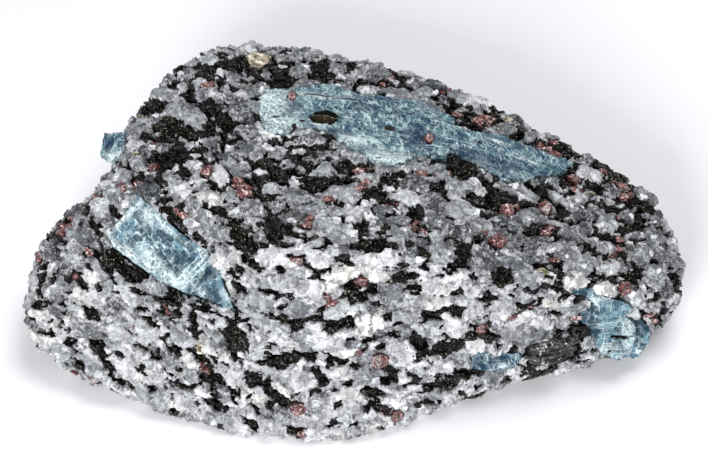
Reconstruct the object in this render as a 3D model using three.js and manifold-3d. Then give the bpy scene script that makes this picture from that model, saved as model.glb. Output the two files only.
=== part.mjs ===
// Kyanite blades in a loose piece of biotite-garnet-quartz schist.
// Millimetres, +Z up. The stone lies on its flat break, at z = 0, and its length runs along X.
// The origin is the middle of the whole specimen's footprint, on that plane.
import * as THREE from "three";
import { ConvexGeometry } from "three/addons/geometries/ConvexGeometry.js";
import { ConvexHull } from "three/addons/math/ConvexHull.js";
import { ImprovedNoise } from "three/addons/math/ImprovedNoise.js";
import { mergeVertices } from "three/addons/utils/BufferGeometryUtils.js";
import Module from "manifold-3d";

const wasm = await Module();
wasm.setup();

// ---------------------------------------------------------------- driving dimensions

const GAP = 0.35; // clearance between a crystal and its pocket
const HEADROOM = 5; // how far a pocket is cleared above the crystal's face
const STONE_DETAIL = 13; // subdivisions of the icosahedron that the stone is shaped from
const STONE_CENTRE = new THREE.Vector3(0, 3, 12);
const STONE_HALF_SIZES = new THREE.Vector3(48, 29, 15);
const SMOOTHING_PASSES = 3; // each one rounds the stone's broken edges a little more
const SMOOTHING_LOSS = 0.4; // how far the passes pull the surface in, put back afterwards
const NOISE_START = new THREE.Vector3(7.3, 2.1, 4.7); // where the roughness is read from
const GROUND_SIZE = 200;
const MERGE_DISTANCE = 1e-4;
const LONGEST_MITER = 0.4; // limits how far a sharp corner of a pocket reaches out

// The stone's corners, a ring at a time from the crest down to the foot.
const CREST = [
  [-43, 0, 17], [-37, 3, 22.5], [-28, -2, 25.5], [-17, -8, 28], [-7, -12, 29],
  [6, -13, 28.5], [19, -13.5, 26], [29, -13, 22], [41, -8, 16],
];
const BACK_EDGE = [
  [-38, 15, 17], [-32, 21, 20], [-28.5, 30, 21.5], [-23.5, 37, 22.5], [-10, 33.6, 22.5],
  [0, 33, 22.5], [10, 29.5, 22.5], [18, 25.5, 21.5], [31, 18, 19], [38, 14, 17], [44, 12, 15],
];
const ENDS = [
  [-49, -11.5, 8], [-46, -13, 3], [-47, 3, 12], [-42, 7, 15],
  [47, 8, 13], [49, 2, 11], [49.5, -3, 8], [46.5, -8, 6], [40, -11.5, 3],
];
const FOOT = [
  [-36, -17.5, 1], [-27, -20.5, 0], [-16, -24.5, 0], [-9, -25, 0], [2, -24.5, 0], [8, -21, 0],
  [18, -17.5, 1], [-38, 3, -3], [-26, 24, -3], [-8, 27, -3], [14, 20, -3], [34, 8, -2],
  [36, -4, -3], [10, -15, -4], [-20, -18, -4],
];

// Hollows (positive depth) and swellings (negative depth) that a convex stone lacks.
const HOLLOWS = [
  { at: [22, -17, 6], radius: 12, depth: 2.2 },
  { at: [-41, 12, 16], radius: 9, depth: 2.5 },
  { at: [-22, -9, 25], radius: 7, depth: 1.8 },
];

// Roughness of the broken surface: broad waves, then lumps.
const ROUGHNESS = [
  { size: 21, height: 0.9 },
  { size: 8, height: 0.55 },
  { size: 4, height: 0.3 },
];

// The crystals are slabs. A slab's outline lies in its broad face: x runs along the crystal, y across
// it and z out of the face, all from the point `at`. `bottom` and `top` are heights over that point.
// Slabs of one crystal are its lengths and its cleavage steps.
const LONG_BLADE_FACE = { at: [0, 15, 25.9], along: [1, -0.1, 0], face: [0.06, 0.16, 0.985] };
const LONG_BLADE = [
  {
    ...LONG_BLADE_FACE, bottom: -4.2, top: 0,
    outline: [
      [-13.4, 5.3], [-14.5, 2.6], [-13.5, -0.7], [-12.6, -3.6], [-10, -4], [-7.7, -2.2], [-3.2, -2.8],
      [-0.8, -5.3], [1.3, -6.8], [3.5, -9], [5.4, -9.5], [8.2, -8.4], [9.4, -5.8], [14, -5.6],
      [14.5, -1], [14.3, 2.8], [12.4, 4], [9.3, 6.4], [0.3, 6.5], [-4.4, 8], [-10.9, 5.8],
    ],
  },
  {
    at: [22, 11, 23.1], along: [1, -0.1, 0], face: [0.28, 0.1, 0.955], bottom: -3.8, top: 0,
    outline: [
      [-9.4, 3.3], [-8, -2.5], [-5, -3.5], [-2, -4.5], [1.1, -5.9], [3.4, -4], [5.6, -2.8],
      [7.9, -1.2], [9.5, 0.5], [10.5, 2.3], [8.9, 2.5], [3.8, 3.3], [-0.9, 3.6], [-6.3, 2.8],
    ],
  },
];

const FRONT_BLADE_FACE = {
  at: [-25.5, -7.5, 22.2], along: [0.63, -0.75, 0], face: [-0.18, -0.42, 0.89],
};
const FRONT_BLADE = [
  {
    ...FRONT_BLADE_FACE, bottom: -3.2, top: 0,
    outline: [
      [-10, 2.2], [-8.9, -4.8], [-7.3, -5.3], [1.5, -4], [6, -2.3], [5.2, 2.8], [3.2, 3.7],
      [0, 2.8], [-7.6, 2.6],
    ],
  },
  {
    ...FRONT_BLADE_FACE, bottom: -3, top: -0.9,
    outline: [[4, -3], [6.2, -2], [8.9, -1], [11.8, 0.3], [9.6, 1.3], [6.8, 2.6], [3.8, 3]],
  },
];

const SMALL_BLADE = [
  {
    at: [20.6, -16.7, 8.8], along: [0.93, 0.3, -0.1], face: [0.2, -0.8, 0.57], bottom: -2.4, top: 0,
    outline: [
      [-3.9, 1.2], [-3.6, -0.5], [-1, -1.3], [1.1, -1.3], [2.7, -1], [3.6, 0], [3.2, 0.9],
      [-0.1, 1.4], [-1.9, 2], [-3.4, 1.9],
    ],
  },
];

const LEFT_TIP = [
  {
    at: [-36.5, 16.3, 18.7], along: [0, 0.8, 0.3], face: [-0.5, -0.3, 0.8], bottom: -2.2, top: 0,
    outline: [[2.4, 1.4], [-1.4, 1.8], [-2.6, -0.4], [-1.6, -2.6], [1.4, -3], [2, -0.4]],
  },
];

// Grown together at the corner of the stone: a block, a step behind its side, a stub and a plate.
const CORNER_FACE = { at: [38.6, -12, 7.7], along: [1, 0.1, 0], face: [0.2, -0.88, 0.42] };
const CORNER_CRYSTALS = [
  {
    ...CORNER_FACE, bottom: -4.5, top: 0,
    outline: [
      [-4.4, 3.7], [-4.5, 2], [-3.7, 0], [-2.5, -2.2], [0, -3.2], [1.6, -2.7], [2.3, -0.2],
      [2.3, 2.2], [1, 3.5], [-2.2, 4.1],
    ],
  },
  {
    ...CORNER_FACE, bottom: -4.8, top: -1.6,
    outline: [[0, -2.6], [2.5, -4], [3.8, -3.5], [4.9, -2.2], [5.2, -0.4], [4.4, 1.2], [3, 3], [0, 3.2]],
  },
  {
    ...CORNER_FACE, bottom: -4.5, top: 1.4,
    outline: [[-6.6, 4.8], [-5, 3.4], [-2.8, 3.6], [-3, 5.6], [-5, 6.6], [-6.7, 6.2]],
  },
  {
    at: [36.7, -10.4, 15.7], along: [0.85, 0.25, -0.4], face: [0.38, -0.78, 0.5], bottom: -3.5, top: 0,
    outline: [
      [-6.8, 0.9], [-7, 0.1], [-4.3, -0.2], [-2.7, -1.1], [-2.2, -4], [1.4, -3.6], [4.1, -1.6],
      [2.7, -0.6], [-0.8, -0.1], [-4.6, 1.3],
    ],
  },
];

// Mica comes apart in sheets: the same lens again and again, some sheets standing out past others.
const SHEETS = { count: 5, thickness: 0.85, shift: 0.45, shiftTurn: 2.4, taper: 0.05 };
const BIOTITE_BOOK = {
  at: [28.3, -13.7, 5.8], along: [0.96, 0.26, -0.08], face: [0.05, 0.1, 1],
  outline: [
    [-4, -0.3], [-2.4, -1.3], [0, -1.7], [2.5, -1.3], [4.4, -0.3], [3.6, 1.6], [0, 2.3], [-3.2, 1.4],
  ],
};
const BIOTITE_EYE = {
  ...LONG_BLADE_FACE, bottom: -1.2, top: 0.15,
  outline: [[-6.4, -0.7], [-5.6, 0.7], [-4, 1.3], [-2.6, 0.6], [-2.4, -0.7], [-3.6, -1.7], [-5.3, -1.6]],
};
const GOLDEN_MICA = {
  at: [-14.6, 29.5, 23.9], along: [1, 0.2, 0], face: [0.05, -0.3, 0.95], bottom: -1, top: 0,
  outline: [[-1.7, 0.9], [-1.4, -0.9], [0, -1.6], [1.7, -0.9], [1.6, 0.5], [0, 1.4]],
};

const GARNETS = [
  { at: [3.6, -19.6, 13], width: 2.3, turn: 0.4 },
  { at: [-7.9, -22.5, 5.8], width: 2, turn: 1.3 },
  { at: [6.1, -22, 3.4], width: 1.9, turn: 2.2 },
  { at: [21.7, -1.1, 23.8], width: 1.9, turn: 3.1 },
  { at: [27.5, 1.3, 21.4], width: 2, turn: 0.7 },
  { at: [19.8, -7.9, 25], width: 2.2, turn: 1.6 },
  { at: [-21, 4.5, 25.9], width: 2, turn: 2.5 },
  { at: [-22, 24.3, 23.4], width: 1.8, turn: 0.2 },
  { at: [38.6, -8.8, 15.8], width: 2, turn: 1.1 },
  { at: [-45.9, -0.8, 12.9], width: 1.6, turn: 2 },
];
const BLADE_GARNETS = [
  { at: [-9.3, 20.2, 25.2], width: 1.4, turn: 0.4 },
  { at: [10.8, 11.2, 25.7], width: 1.3, turn: 1.3 },
];

// ---------------------------------------------------------------- solids

const noise = new ImprovedNoise();

function solidOf(geometry) {
  const bare = new THREE.BufferGeometry().setAttribute("position", geometry.getAttribute("position"));
  if (geometry.index) bare.setIndex(geometry.index);
  const merged = mergeVertices(bare, MERGE_DISTANCE);
  return new wasm.Manifold(
    new wasm.Mesh({
      numProp: 3,
      vertProperties: merged.attributes.position.array,
      triVerts: new Uint32Array(merged.index.array),
    }),
  );
}

function geometryOf(solid) {
  const mesh = solid.getMesh();
  const positions = new Float32Array(mesh.numVert * 3);
  for (let i = 0; i < mesh.numVert; i++) {
    const start = i * mesh.numProp;
    positions.set(mesh.vertProperties.subarray(start, start + 3), i * 3);
  }
  const geometry = new THREE.BufferGeometry();
  geometry.setAttribute("position", new THREE.BufferAttribute(positions, 3));
  geometry.setIndex(new THREE.BufferAttribute(new Uint32Array(mesh.triVerts), 1));
  geometry.computeVertexNormals();
  return geometry;
}

// ---------------------------------------------------------------- the stone

// How far the hull of the corners reaches from the centre along a direction.
function hullReach(hull, direction) {
  let reach = Infinity;
  for (const face of hull.faces) {
    const facing = face.normal.dot(direction);
    if (facing <= 0) continue;
    const distance = face.constant - face.normal.dot(STONE_CENTRE);
    reach = Math.min(reach, distance / facing);
  }
  return reach;
}

function hollowAt(point) {
  let depth = 0;
  for (const hollow of HOLLOWS) {
    const away = point.distanceTo(new THREE.Vector3(...hollow.at)) / hollow.radius;
    depth += hollow.depth * Math.exp(-away * away);
  }
  return depth;
}

function roughnessAt(point) {
  let total = 0;
  for (const { size, height } of ROUGHNESS) {
    const place = point.clone().divideScalar(size).add(NOISE_START);
    total += height * noise.noise(place.x, place.y, place.z);
  }
  return total;
}

// Moves every vertex halfway to the mean of its neighbours.
function smooth(points, index) {
  const sums = points.map(() => new THREE.Vector3());
  const counts = points.map(() => 0);
  for (let i = 0; i < index.count; i += 3) {
    for (let corner = 0; corner < 3; corner++) {
      const from = index.getX(i + corner);
      const to = index.getX(i + ((corner + 1) % 3));
      sums[from].add(points[to]);
      counts[from] += 1;
    }
  }
  points.forEach((point, i) => point.lerp(sums[i].divideScalar(counts[i]), 0.5));
}

function stoneSolid() {
  const corners = [CREST, BACK_EDGE, ENDS, FOOT].flat().map((c) => new THREE.Vector3(...c));
  const hull = new ConvexHull().setFromPoints(corners);
  const ball = new THREE.IcosahedronGeometry(1, STONE_DETAIL);
  ball.deleteAttribute("normal");
  ball.deleteAttribute("uv");
  const mesh = mergeVertices(ball, MERGE_DISTANCE);
  const position = mesh.attributes.position;
  const points = [];
  for (let i = 0; i < position.count; i++) {
    const direction = new THREE.Vector3().fromBufferAttribute(position, i);
    direction.multiply(STONE_HALF_SIZES).normalize();
    points.push(direction.clone().multiplyScalar(hullReach(hull, direction)).add(STONE_CENTRE));
  }
  for (let pass = 0; pass < SMOOTHING_PASSES; pass++) smooth(points, mesh.index);
  points.forEach((point, i) => {
    const outward = point.clone().sub(STONE_CENTRE).normalize();
    const move = SMOOTHING_LOSS + roughnessAt(point) - hollowAt(point);
    point.addScaledVector(outward, move);
    position.setXYZ(i, point.x, point.y, point.z);
  });
  const ground = new THREE.BoxGeometry(GROUND_SIZE, GROUND_SIZE, GROUND_SIZE);
  ground.translate(0, 0, -GROUND_SIZE / 2);
  return solidOf(mesh).subtract(solidOf(ground));
}

// ---------------------------------------------------------------- the crystals

// An outline with every edge moved outward by the margin. The outline runs anticlockwise.
function grown(outline, margin) {
  return outline.map(([x, y], i) => {
    const [beforeX, beforeY] = outline.at(i - 1);
    const [afterX, afterY] = outline[(i + 1) % outline.length];
    const inward = new THREE.Vector2(x - beforeX, y - beforeY).normalize();
    const onward = new THREE.Vector2(afterX - x, afterY - y).normalize();
    const miter = new THREE.Vector2(inward.y + onward.y, -inward.x - onward.x);
    miter.multiplyScalar(margin / Math.max(1 + inward.dot(onward), LONGEST_MITER));
    return new THREE.Vector2(x, y).add(miter);
  });
}

function faceFrame({ at, along, face }) {
  const z = new THREE.Vector3(...face).normalize();
  const x = new THREE.Vector3(...along);
  x.addScaledVector(z, -x.dot(z)).normalize();
  const y = z.clone().cross(x);
  return new THREE.Matrix4().makeBasis(x, y, z).setPosition(new THREE.Vector3(...at));
}

function slabSolid(slab, margin = 0, headroom = 0) {
  const clockwise = THREE.ShapeUtils.area(slab.outline.map(([x, y]) => ({ x, y }))) < 0;
  const outline = clockwise ? slab.outline.toReversed() : slab.outline;
  const shape = new THREE.Shape(grown(outline, margin));
  const depth = slab.top - slab.bottom + 2 * margin + headroom;
  const geometry = new THREE.ExtrudeGeometry(shape, { depth, bevelEnabled: false });
  return solidOf(geometry.translate(0, 0, slab.bottom - margin).applyMatrix4(faceFrame(slab)));
}

function joined(solids) {
  return solids.reduce((whole, solid) => whole.add(solid));
}

// Cutting pockets can leave a loose flake of stone between two of them, which isn't kept.
function largestPiece(solid) {
  return solid.decompose().reduce((best, piece) => (piece.volume() > best.volume() ? piece : best));
}

function micaSheets({ outline, ...frame }) {
  const sheets = [];
  for (let i = 0; i < SHEETS.count; i++) {
    const aside = SHEETS.shift * Math.sin(i * SHEETS.shiftTurn);
    const wider = 1 - SHEETS.taper * Math.abs(i - SHEETS.count / 2);
    sheets.push({
      ...frame,
      bottom: i * SHEETS.thickness,
      top: (i + 1) * SHEETS.thickness,
      outline: outline.map(([x, y]) => [x * wider + aside, y * wider + aside]),
    });
  }
  return sheets;
}

// A rhombic dodecahedron, the habit of garnet, `width` across its opposite faces.
function garnetSolid({ at, width, turn }, margin = 0) {
  const corners = [];
  for (const z of [-1, 1]) {
    corners.push([2 * z, 0, 0], [0, 2 * z, 0], [0, 0, 2 * z]);
    corners.push([-1, -1, z], [-1, 1, z], [1, -1, z], [1, 1, z]);
  }
  const geometry = new ConvexGeometry(corners.map((corner) => new THREE.Vector3(...corner)));
  const scale = (width / 2 + margin) / Math.SQRT2;
  geometry.scale(scale, scale, scale).rotateX(turn).rotateZ(2 * turn).translate(...at);
  return solidOf(geometry);
}

// ---------------------------------------------------------------- the specimen

const KYANITE = { color: 0x5d93ad, roughness: 0.35 };
const PALE_KYANITE = { color: 0x8fc0d0, roughness: 0.4 };
const BIOTITE = { color: 0x1d1a17, roughness: 0.3 };
const MUSCOVITE = { color: 0xd8c9a0, roughness: 0.3 };
const GARNET = { color: 0xa05060, roughness: 0.3 };
const SCHIST = { color: 0x8f9196, roughness: 0.8 };

const group = new THREE.Group();

function addMesh(name, solid, look) {
  const material = new THREE.MeshStandardMaterial({ ...look, metalness: 0 });
  const mesh = new THREE.Mesh(geometryOf(solid), material);
  mesh.name = name;
  group.add(mesh);
}

const slabCrystals = [
  { name: "kyanite_long_blade", slabs: LONG_BLADE, look: KYANITE, headroom: HEADROOM },
  { name: "kyanite_front_blade", slabs: FRONT_BLADE, look: PALE_KYANITE, headroom: HEADROOM },
  { name: "kyanite_small_blade", slabs: SMALL_BLADE, look: KYANITE, headroom: HEADROOM },
  { name: "kyanite_left_tip", slabs: LEFT_TIP, look: KYANITE, headroom: HEADROOM },
  { name: "kyanite_corner_crystals", slabs: CORNER_CRYSTALS, look: PALE_KYANITE, headroom: HEADROOM },
  { name: "biotite_book", slabs: micaSheets(BIOTITE_BOOK), look: BIOTITE, headroom: 0 },
  { name: "biotite_eye", slabs: [BIOTITE_EYE], look: BIOTITE, headroom: HEADROOM },
  { name: "golden_mica", slabs: [GOLDEN_MICA], look: MUSCOVITE, headroom: HEADROOM },
];

const slabPockets = slabCrystals.flatMap(({ slabs, headroom }) =>
  slabs.map((slab) => slabSolid(slab, GAP, headroom)),
);
const garnetPockets = GARNETS.map((garnet) => garnetSolid(garnet, GAP));
const pocketsInStone = joined([...slabPockets, ...garnetPockets]);
const pocketsInBlade = joined([
  slabSolid(BIOTITE_EYE, GAP, HEADROOM),
  ...BLADE_GARNETS.map((garnet) => garnetSolid(garnet, GAP)),
]);

addMesh("schist_matrix", largestPiece(stoneSolid().subtract(pocketsInStone)), SCHIST);
for (const { name, slabs, look } of slabCrystals) {
  const crystal = joined(slabs.map((slab) => slabSolid(slab)));
  addMesh(name, slabs === LONG_BLADE ? crystal.subtract(pocketsInBlade) : crystal, look);
}
[...GARNETS, ...BLADE_GARNETS].forEach((garnet, i) => {
  addMesh(`garnet_${i + 1}`, garnetSolid(garnet), GARNET);
});

// The middle of the footprint becomes the origin.
const middle = new THREE.Box3().setFromObject(group).getCenter(new THREE.Vector3());
group.position.set(-middle.x, -middle.y, 0);

export default group;
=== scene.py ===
import math

import bmesh
import bpy
import numpy as np
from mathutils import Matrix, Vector
from mathutils.bvhtree import BVHTree
from mathutils.geometry import points_in_planes
from mathutils.kdtree import KDTree


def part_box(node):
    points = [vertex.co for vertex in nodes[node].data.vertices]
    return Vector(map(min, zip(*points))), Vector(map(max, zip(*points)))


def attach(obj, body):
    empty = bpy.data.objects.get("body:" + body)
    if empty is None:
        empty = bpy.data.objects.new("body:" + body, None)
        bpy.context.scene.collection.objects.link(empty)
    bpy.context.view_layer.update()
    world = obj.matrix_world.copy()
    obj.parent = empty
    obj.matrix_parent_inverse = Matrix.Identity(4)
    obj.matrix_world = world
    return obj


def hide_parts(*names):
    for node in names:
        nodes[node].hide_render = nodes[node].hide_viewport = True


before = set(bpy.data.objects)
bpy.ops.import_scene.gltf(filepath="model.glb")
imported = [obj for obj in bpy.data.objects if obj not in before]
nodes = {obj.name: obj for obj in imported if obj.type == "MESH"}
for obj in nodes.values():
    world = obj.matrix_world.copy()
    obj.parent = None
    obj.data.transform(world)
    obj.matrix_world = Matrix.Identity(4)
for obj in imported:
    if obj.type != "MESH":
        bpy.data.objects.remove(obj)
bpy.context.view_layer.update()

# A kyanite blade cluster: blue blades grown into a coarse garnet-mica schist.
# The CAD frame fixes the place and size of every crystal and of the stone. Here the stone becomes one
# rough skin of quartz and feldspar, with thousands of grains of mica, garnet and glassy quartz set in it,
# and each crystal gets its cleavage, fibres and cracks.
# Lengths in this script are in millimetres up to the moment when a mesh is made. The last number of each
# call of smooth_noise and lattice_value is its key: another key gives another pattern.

MM = 0.001
TINY = 1e-6
rng = np.random.default_rng(20)

BLADES = ("kyanite_long_blade", "kyanite_front_blade", "kyanite_small_blade",
          "kyanite_left_tip", "kyanite_corner_crystals")
MICAS = ("biotite_book", "biotite_eye", "golden_mica")
GARNETS = tuple(sorted(name for name in nodes if name.startswith("garnet_")))

# ---------------------------------------------------------------- shared tools


def lattice_value(cells, key):
    """A repeatable random number from 0 to 1 for each whole-number cell."""
    mixed = (cells[..., 0] * 374761393 + cells[..., 1] * 668265263
             + cells[..., 2] * 1442695041 + key * 974634777) & 0xFFFFFFFF
    mixed = ((mixed ^ (mixed >> 13)) * 1274126177) & 0xFFFFFFFF
    return ((mixed ^ (mixed >> 16)) & 0xFFFFFF) / float(0xFFFFFF)


def smooth_noise(points, size, key):
    """Smooth noise from 0 to 1 whose lumps are about size wide. size is one number or three."""
    scaled = np.asarray(points, float) / np.asarray(size, float)
    base = np.floor(scaled).astype(np.int64)
    part = scaled - base
    part = part * part * (3 - 2 * part)
    total = np.zeros(len(scaled))
    for corner in np.ndindex(2, 2, 2):
        step = np.array(corner)
        weight = np.prod(np.where(step == 1, part, 1 - part), axis=1)
        total += weight * lattice_value(base + step, key)
    return total


def read_vectors(mesh, what):
    """A vector of every vertex, such as its place or its normal, as an (n, 3) array."""
    values = np.empty(len(mesh.vertices) * 3, np.float32)
    mesh.vertices.foreach_get(what, values)
    return values.reshape(-1, 3).astype(float)


def write_places(mesh, places):
    """Moves every vertex to its place in millimetres."""
    mesh.vertices.foreach_set("co", (places * MM).astype(np.float32).ravel())


def store(mesh, label, values):
    """Saves a number or a vector for every vertex, for a material to read."""
    values = np.asarray(values, np.float32)
    kind, field = ("FLOAT_VECTOR", "vector") if values.ndim == 2 else ("FLOAT", "value")
    mesh.attributes.new(label, kind, "POINT").data.foreach_set(field, values.ravel())


def shade(mesh, sharp_from):
    """Smooth shading, broken at edges sharper than this many degrees."""
    mesh.shade_smooth()
    mesh.set_sharp_from_angle(angle=math.radians(sharp_from))


def corners_of_node(node):
    """The triangle corners of a CAD node in millimetres, as an (n, 3, 3) array."""
    mesh = nodes[node].data
    mesh.calc_loop_triangles()
    corners = np.empty(len(mesh.loop_triangles) * 3, np.int32)
    mesh.loop_triangles.foreach_get("vertices", corners)
    return read_vectors(mesh, "co")[corners.reshape(-1, 3)] / MM


def box_mm(name):
    """A CAD node's lowest and highest corner, in millimetres."""
    low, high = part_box(name)
    return np.array(low) / MM, np.array(high) / MM


def tree_of(places):
    """A tree that finds the nearest of these places."""
    tree = KDTree(len(places))
    for index, place in enumerate(places):
        tree.insert(place, index)
    tree.balance()
    return tree


def surface_of(node):
    """A tree that finds the nearest point of a CAD node's surface, in millimetres."""
    triangles = corners_of_node(node)
    corners = [Vector(point) for point in triangles.reshape(-1, 3)]
    faces = [(i, i + 1, i + 2) for i in range(0, len(corners), 3)]
    return BVHTree.FromPolygons(corners, faces)


def placed(name, data):
    """A new object in the scene with this mesh, camera or lamp."""
    thing = bpy.data.objects.new(name, data)
    bpy.context.scene.collection.objects.link(thing)
    return thing


def modified(thing):
    """The mesh of an object with its modifiers applied. The object itself goes."""
    depsgraph = bpy.context.evaluated_depsgraph_get()
    mesh = bpy.data.meshes.new_from_object(thing.evaluated_get(depsgraph), depsgraph=depsgraph)
    bpy.data.objects.remove(thing)
    return mesh


def add_piece(name, mesh, stands_for, material):
    """A finished piece, riding on the one body, that stands for the named CAD nodes."""
    piece = placed(name, mesh)
    piece.data.materials.append(material)
    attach(piece, "root")
    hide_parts(*stands_for)


# ---------------------------------------------------------------- the grains of the stone

# Cells and grains fill a layer about the stone's surface, from this deep to this high.
SHELL_DEPTH = 1.9
SHELL_RISE = 1.2
# For each size of cell or grain, the largest first: its radius and how many places are tried.
CELL_SIZES = ((0.9, 1800), (0.7, 14000), (0.55, 50000), (0.43, 80000))
GRAIN_SIZES = ((2.4, 450), (1.7, 1800), (1.15, 5000), (0.8, 14000), (0.56, 26000), (0.4, 36000))
SIZE_SPREAD = (0.86, 1.14)
PACKING = 0.84
# Sizes under FINE are left out below FINE_LOWEST, near the flat underside, and all below COARSE_LOWEST.
FINE = 0.6
FINE_LOWEST = 1.0
COARSE_LOWEST = -0.2
# The layering of the schist: how flat the grains lie, and where and how steeply the layers dip.
FLATTENING = 1.2
LINEATION = 0.88
FRONT_DIP = 0.5
LEFT_DIP = 0.45
LEFT_FROM = -8
LEFT_SPAN = 14
# Planes between cells: a share of RELIEF keeps each cell's own height at the surface.
RELIEF = 0.6
OVERLAP = 0.02
LEAST_RISE = 0.05
CROSSING = (0.1, 0.9)
LIMIT = 1.7
LIMIT_MARGIN = 0.1
FACING_OUT = 0.3
NEAREST_NEIGHBOURS = 20
MOST_NEIGHBOURS = 44
# Room between a cell and the crystal beside it.
BLADE_CLEARANCE = 0.05
LEAST_WALL = 0.2
WIDEST_WALL = 2.0
# The lowest point of the stone, and the tolerances for corners that meet.
FLOOR = 0.02
TOUCHING = 2e-4
SAME_PLANE = 1e-5
CORNERS_PER_MM = 400


def foliation_height(points):
    """How the layering of the schist rises: down to the front, and down to the right at the left end."""
    x = points[:, 0]
    y = points[:, 1]
    left = np.clip((LEFT_FROM - x) / LEFT_SPAN, 0, 1)
    waves = 3.2 * smooth_noise(points, 10, 3) + 1.6 * smooth_noise(points, 4.2, 4)
    return -FRONT_DIP * y - LEFT_DIP * left * (x - LEFT_FROM) + waves


def warped(points):
    """Places in the space where grains are as thick as they are wide."""
    points = np.atleast_2d(points)
    across = FLATTENING * (points[:, 2] - foliation_height(points)) * LINEATION
    return np.stack([points[:, 0] * LINEATION, points[:, 1], across], axis=1)


def warp_slopes(points):
    """How warped() changes with each coordinate, as (n, 3, 3)."""
    step = 0.05
    columns = []
    for axis in range(3):
        offset = np.zeros(3)
        offset[axis] = step
        columns.append((warped(points + offset) - warped(points - offset)) / (2 * step))
    return np.stack(columns, axis=2)


def shell_candidates(triangles, count):
    """Random places in a layer about the stone's surface, evenly by area."""
    sides = np.cross(triangles[:, 1] - triangles[:, 0], triangles[:, 2] - triangles[:, 0])
    areas = np.linalg.norm(sides, axis=1)
    normals = sides / areas[:, None]
    picked = rng.choice(len(areas), count, p=areas / areas.sum())
    u = rng.random((count, 2))
    u = np.where(u.sum(axis=1, keepdims=True) > 1, 1 - u, u)
    first, second, third = (triangles[picked, corner] for corner in range(3))
    on_face = first + u[:, :1] * (second - first) + u[:, 1:] * (third - first)
    return on_face + normals[picked] * rng.uniform(-SHELL_DEPTH, SHELL_RISE, (count, 1))


def scattered(sizes_and_tries):
    """Random centres and radii in the shell. The largest are placed first, and small ones fill the rest."""
    triangles = corners_of_node("schist_matrix")
    centres, places, radii = np.empty((0, 3)), np.empty((0, 3)), np.empty(0)
    for radius, tries in sizes_and_tries:
        points = shell_candidates(triangles, tries)
        under = points[:, 2] < (FINE_LOWEST if radius < FINE else COARSE_LOWEST)
        points = points[~under]
        sizes = radius * rng.uniform(*SIZE_SPREAD, len(points))
        spots = warped(points)
        kept = kept_seeds(spots, sizes, places, radii)
        centres = np.vstack([centres, points[kept]])
        places = np.vstack([places, spots[kept]])
        radii = np.concatenate([radii, sizes[kept]])
    return centres, places, radii


def kept_seeds(spots, sizes, places, radii):
    """Which new grain centres keep clear of the larger grains already placed and of each other."""
    tree = tree_of(places)
    widest = radii.max() if len(radii) else 0
    cell = 2 * sizes.max() * PACKING
    keys = np.floor(spots / cell).astype(int).tolist()
    around = [(i, j, k) for i in (-1, 0, 1) for j in (-1, 0, 1) for k in (-1, 0, 1)]
    grid, kept = {}, []
    for index, (spot, size, key) in enumerate(zip(spots.tolist(), sizes.tolist(), keys)):
        if any(gap < PACKING * (size + radii[other])
               for _, other, gap in tree.find_range(spot, PACKING * (size + widest))):
            continue
        near = (grid.get((key[0] + i, key[1] + j, key[2] + k), ()) for i, j, k in around)
        if any(math.dist(spot, place) < PACKING * (size + other) for some in near for place, other in some):
            continue
        grid.setdefault(tuple(key), []).append((spot, size))
        kept.append(index)
    return kept


AIR, GRAIN, BLADE, LEFT_OUT = range(4)


def sorted_seeds(centres):
    """What lies at each seed, its height above the stone's surface, and the surface's normal there."""
    stone = surface_of("schist_matrix")
    trees = [(surface_of(name), *box_mm(name)) for name in (*BLADES, *MICAS)]
    kinds = np.full(len(centres), GRAIN)
    heights = np.empty(len(centres))
    normals = np.empty((len(centres), 3))
    walls = [[] for _ in centres]
    for index, centre in enumerate(centres):
        point = Vector(centre)
        found, normal, _, gap = stone.find_nearest(point)
        heights[index] = gap if (point - found).dot(normal) > 0 else -gap
        normals[index] = normal
        if heights[index] > 0:
            kinds[index] = AIR
        for tree, low, high in trees:
            if (centre < low - WIDEST_WALL).any() or (centre > high + WIDEST_WALL).any():
                continue
            found, normal, _, gap = tree.find_nearest(point)
            if (point - found).dot(normal) < 0:
                kinds[index] = BLADE
            elif gap < WIDEST_WALL:
                away = (found - point).normalized()
                walls[index].append((*away, -away.dot(found) + BLADE_CLEARANCE))
                if gap < LEAST_WALL and kinds[index] == GRAIN:
                    kinds[index] = LEFT_OUT
    return kinds, heights, normals, walls


def limit_directions():
    """Directions to the corners and faces of a cube, which bound a cell with no neighbour on some side."""
    corners = [(a, b, c) for a in (-1, 1) for b in (-1, 1) for c in (-1, 1)]
    faces = [np.roll((reach, 0, 0), axis) for axis in range(3) for reach in (-LIMIT, LIMIT)]
    return np.array(corners + faces) / math.sqrt(3)


def neighbour_lists(places):
    """Each seed's nearest seeds, nearest first."""
    tree = tree_of(places)
    return [[other for _, other, _ in tree.find_n(place, MOST_NEIGHBOURS)[1:]] for place in places]


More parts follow.
